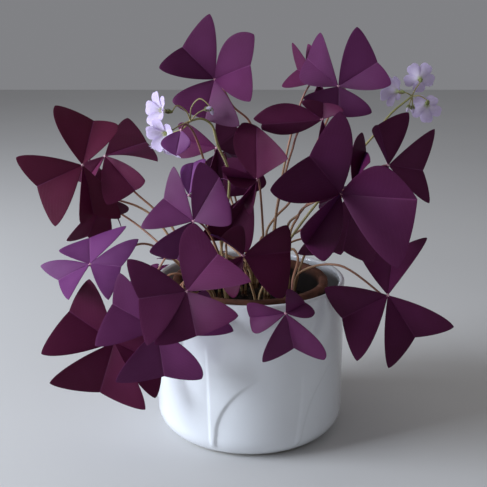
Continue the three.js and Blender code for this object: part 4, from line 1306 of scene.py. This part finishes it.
def uneven(angle, radius, height):
    push = np.zeros_like(radius)
    for i, j in np.ndindex(radius.shape):
        t = angle[0, j]
        spot = Vector((radius[i, j] * math.cos(t), radius[i, j] * math.sin(t), height[i, j]))
        push[i, j] = sum(noise.noise(spot * scale) * depth for scale, depth in DENTS)
    return radius + push.clip(-DEEPEST_DENT, DEEPEST_DENT), height


def clay_profile():
    t = TERRACOTTA
    seat, rim = t["seat"], t["rimRadius"]
    top, floor = seat + t["height"], seat + t["floor"]
    collar, inner, under = rim - t["rimStep"], rim - t["wall"], top - t["rimHeight"]
    foot = [t["baseRadius"], seat + 0.3]
    step = [[collar, under - 0.4], [collar + 0.6, under + 0.5]]
    step += [[rim - 1.1, under + 0.9], [rim - 0.6, under + 1.7]]
    edge = [rim - 0.15, top - 2.4]
    rounded = [[rim - 0.3, top - 1.4], [rim - 0.9, top - 0.6], [rim - 1.9, top - 0.25]]
    rounded += [[inner + 1.6, top - 0.3], [inner + 0.7, top - 0.9], [inner + 0.25, top - 2]]
    bottom = [inner_radius(floor) + 0.25, floor]
    outside = [[0, foot[1]], foot, *line(foot, step[0], 14), *step, *line(step[-1], edge, 5), edge]
    return [*outside, *rounded, *line(rounded[-1], bottom, 18), bottom, [0, floor]]


clay = turned_shape(clay_profile(), CLAY_SEGMENTS, uneven)
piece("fine_terracotta_pot", clay, [CLAY], ["terracotta_pot"], crisp_angle=60)
print("made the clay pot with", len(clay.faces), "faces")

# %% [markdown]
# ## Soil
#
# The soil's top is raised and lowered by two sizes of noise, and loose crumbs lie on it. Bumps in
# the material alone would look flat here, where the soil is seen at a slant over the rim.

# %% The soil's surface
SOIL_SEGMENTS, SOIL_RINGS = 160, 46
COARSE_BUMPS, FINE_BUMPS, SETTLED = (0.35, 0.7), (1.1, 0.8), 0.4


def crumbly(angle, radius, height):
    (coarse, coarse_depth), (fine, fine_depth) = COARSE_BUMPS, FINE_BUMPS
    for i, j in np.ndindex(radius.shape):
        if height[i, j] < SOIL_SIZE["top"] - 1:
            continue
        r, t = radius[i, j], angle[0, j]
        x, y = r * math.sin(t), -r * math.cos(t)
        spot = Vector((x, y, 0))
        rough = noise.noise(spot * coarse) * coarse_depth
        rough += abs(noise.noise(spot * fine)) * fine_depth
        height[i, j] = soil_height(x, y) + rough - SETTLED
    return radius, height


top_radius = inner_radius(SOIL_SIZE["top"]) - SEAT_GAP
bottom = TERRACOTTA["seat"] + TERRACOTTA["floor"] + SEAT_GAP
corner = [inner_radius(bottom) - SEAT_GAP, bottom]
surface = [[top_radius * t, SOIL_SIZE["top"]] for t in np.linspace(1, 0.01, SOIL_RINGS)]
middle = [0, soil_height(0, 0) - 0.2]
soil_profile = [[0, bottom], corner, *line(corner, surface[0], 6), *surface, middle]
soil_shape = turned_shape(soil_profile, SOIL_SEGMENTS, crumbly)
print("made the soil's surface with", len(soil_shape.faces), "faces")

# %% [markdown]
# A crumb is a small block with a point on each side and at each corner, pushed out of shape. A
# particle system could scatter them. A loop with a fixed seed does it in a few lines, and puts
# them in the same places every time.

# %% The crumbs
CRUMBS, CRUMB_SIZES, CRUMB_SQUASH, CRUMB_SWELL = 1500, (0.5, 0.6, 0.8, 1.1, 1.6), (0.6, 1.2), 0.28
CRUMB_SPREAD, CRUMB_SEAT = 0.97, 0.25
CORNERS = [(a, b, c) for a in (-0.62, 0.62) for b in (-0.62, 0.62) for c in (-0.62, 0.62)]
BLOCK = [(1, 0, 0), (-1, 0, 0), (0, 1, 0), (0, -1, 0), (0, 0, 1), (0, 0, -1), *CORNERS]


def block_faces():
    """Three faces meet at each corner, and each of them ends on two of the six side points."""
    faces = []
    for a, b, c in np.ndindex(2, 2, 2):
        x, y, z, corner = a, 2 + b, 4 + c, len(BLOCK) - 1 - 4 * a - 2 * b - c
        ring = [(x, y, corner), (y, z, corner), (z, x, corner)]
        faces += [face[::-1] for face in ring] if (a + b + c) % 2 else ring
    return faces


def crumb(shape, centre, size):
    squash = [random.uniform(*CRUMB_SQUASH) for _ in range(3)]
    phase = random.uniform(0, 6)
    cos, sin = math.cos(phase), math.sin(phase)
    points = []
    for k, (x, y, z) in enumerate(BLOCK):
        swell = size * (1 + CRUMB_SWELL * math.sin(phase + k * 2.4))
        spun = (x * cos - y * sin, x * sin + y * cos, z)
        points.append(centre + np.array(spun) * squash * swell)
    shape.add(points, [(0.5, 0.5)] * len(points), BLOCK_FACES, mark=1)


BLOCK_FACES = block_faces()
for _ in range(CRUMBS):
    spread = top_radius * CRUMB_SPREAD * math.sqrt(random.random())
    t = random.uniform(0, 2 * math.pi)
    x, y = spread * math.sin(t), -spread * math.cos(t)
    size = random.choice(CRUMB_SIZES)
    crumb(soil_shape, np.array([x, y, soil_height(x, y) + size * CRUMB_SEAT]), size)
piece("fine_soil", soil_shape, [SOIL, GRAIN], ["soil"], crisp_angle=35)
print("made the soil with", len(soil_shape.faces), "faces")

# %% [markdown]
# ## Floor, light and camera
#
# The plant stands on a plain pale floor. Daylight comes from a broad window on the left, and
# soft grey light fills the rest. A picture of a room could light the plant as well, but one
# large lamp, a weak one above and a grey world are easier to steer.

# %% Floor and light
FLOOR_WIDTH, FLOOR_DROP = 6, 0.0002


def stage_floor():
    bpy.ops.mesh.primitive_plane_add(size=FLOOR_WIDTH, location=(0, 0, -FLOOR_DROP))
    floor = bpy.context.object
    floor.name = "floor"
    # Painted board, matt: the eye gets a quiet ground with no reflection of the pot.
    material, tree, shader = start_material("floor, pale matt", 0.85)
    tree.links.new(mottled(tree, 400, 2, "#d3d2d0", "#cbcac9"), shader.inputs["Base Color"])
    floor.data.materials.append(material)


def soft_light(name, place, target, width, watts, tint):
    lamp = bpy.data.lights.new(name, "AREA")
    lamp.size, lamp.energy, lamp.color = width, watts, colour(tint)[:3]
    thing = bpy.data.objects.new(name, lamp)
    thing.location = place
    thing.rotation_euler = (Vector(target) - Vector(place)).to_track_quat("-Z", "Y").to_euler()
    bpy.context.scene.collection.objects.link(thing)


stage_floor()
soft_light("window", (-1.5, -0.35, 0.6), (0, 0, 0.13), width=0.9, watts=44, tint="#e6effc")
soft_light("ceiling", (-0.2, 0.1, 1.7), (0, 0, 0.15), width=1.2, watts=3, tint="#fbf6ef")
world = bpy.data.worlds.new("soft grey room")
world.use_nodes = True
fill = world.node_tree.nodes["Background"].inputs
fill["Color"].default_value = colour("#cccdd2")
fill["Strength"].default_value = 0.36
bpy.context.scene.world = world
bpy.context.scene.view_settings.view_transform = "Standard"
print("lit the scene with", len(bpy.data.lights), "lights")

# %% [markdown]
# The camera stands at the viewpoint that the places of leaves and flowers are given from, and
# looks down a little. With a long lens the pot's sides stay nearly upright.

# %% Camera
LENS, SENSOR, PITCH = 63.72, 36.0, 15.1
camera = bpy.data.cameras.new("camera")
camera.lens, camera.sensor_width = LENS, SENSOR
camera.clip_start, camera.clip_end = 0.01, 20
eye = bpy.data.objects.new("camera", camera)
eye.location = [c * MM for c in VIEWPOINT]
eye.rotation_euler = (math.radians(90 - PITCH), 0, 0)
bpy.context.scene.collection.objects.link(eye)
bpy.context.scene.camera = eye
print("the camera looks down by", PITCH, "degrees")
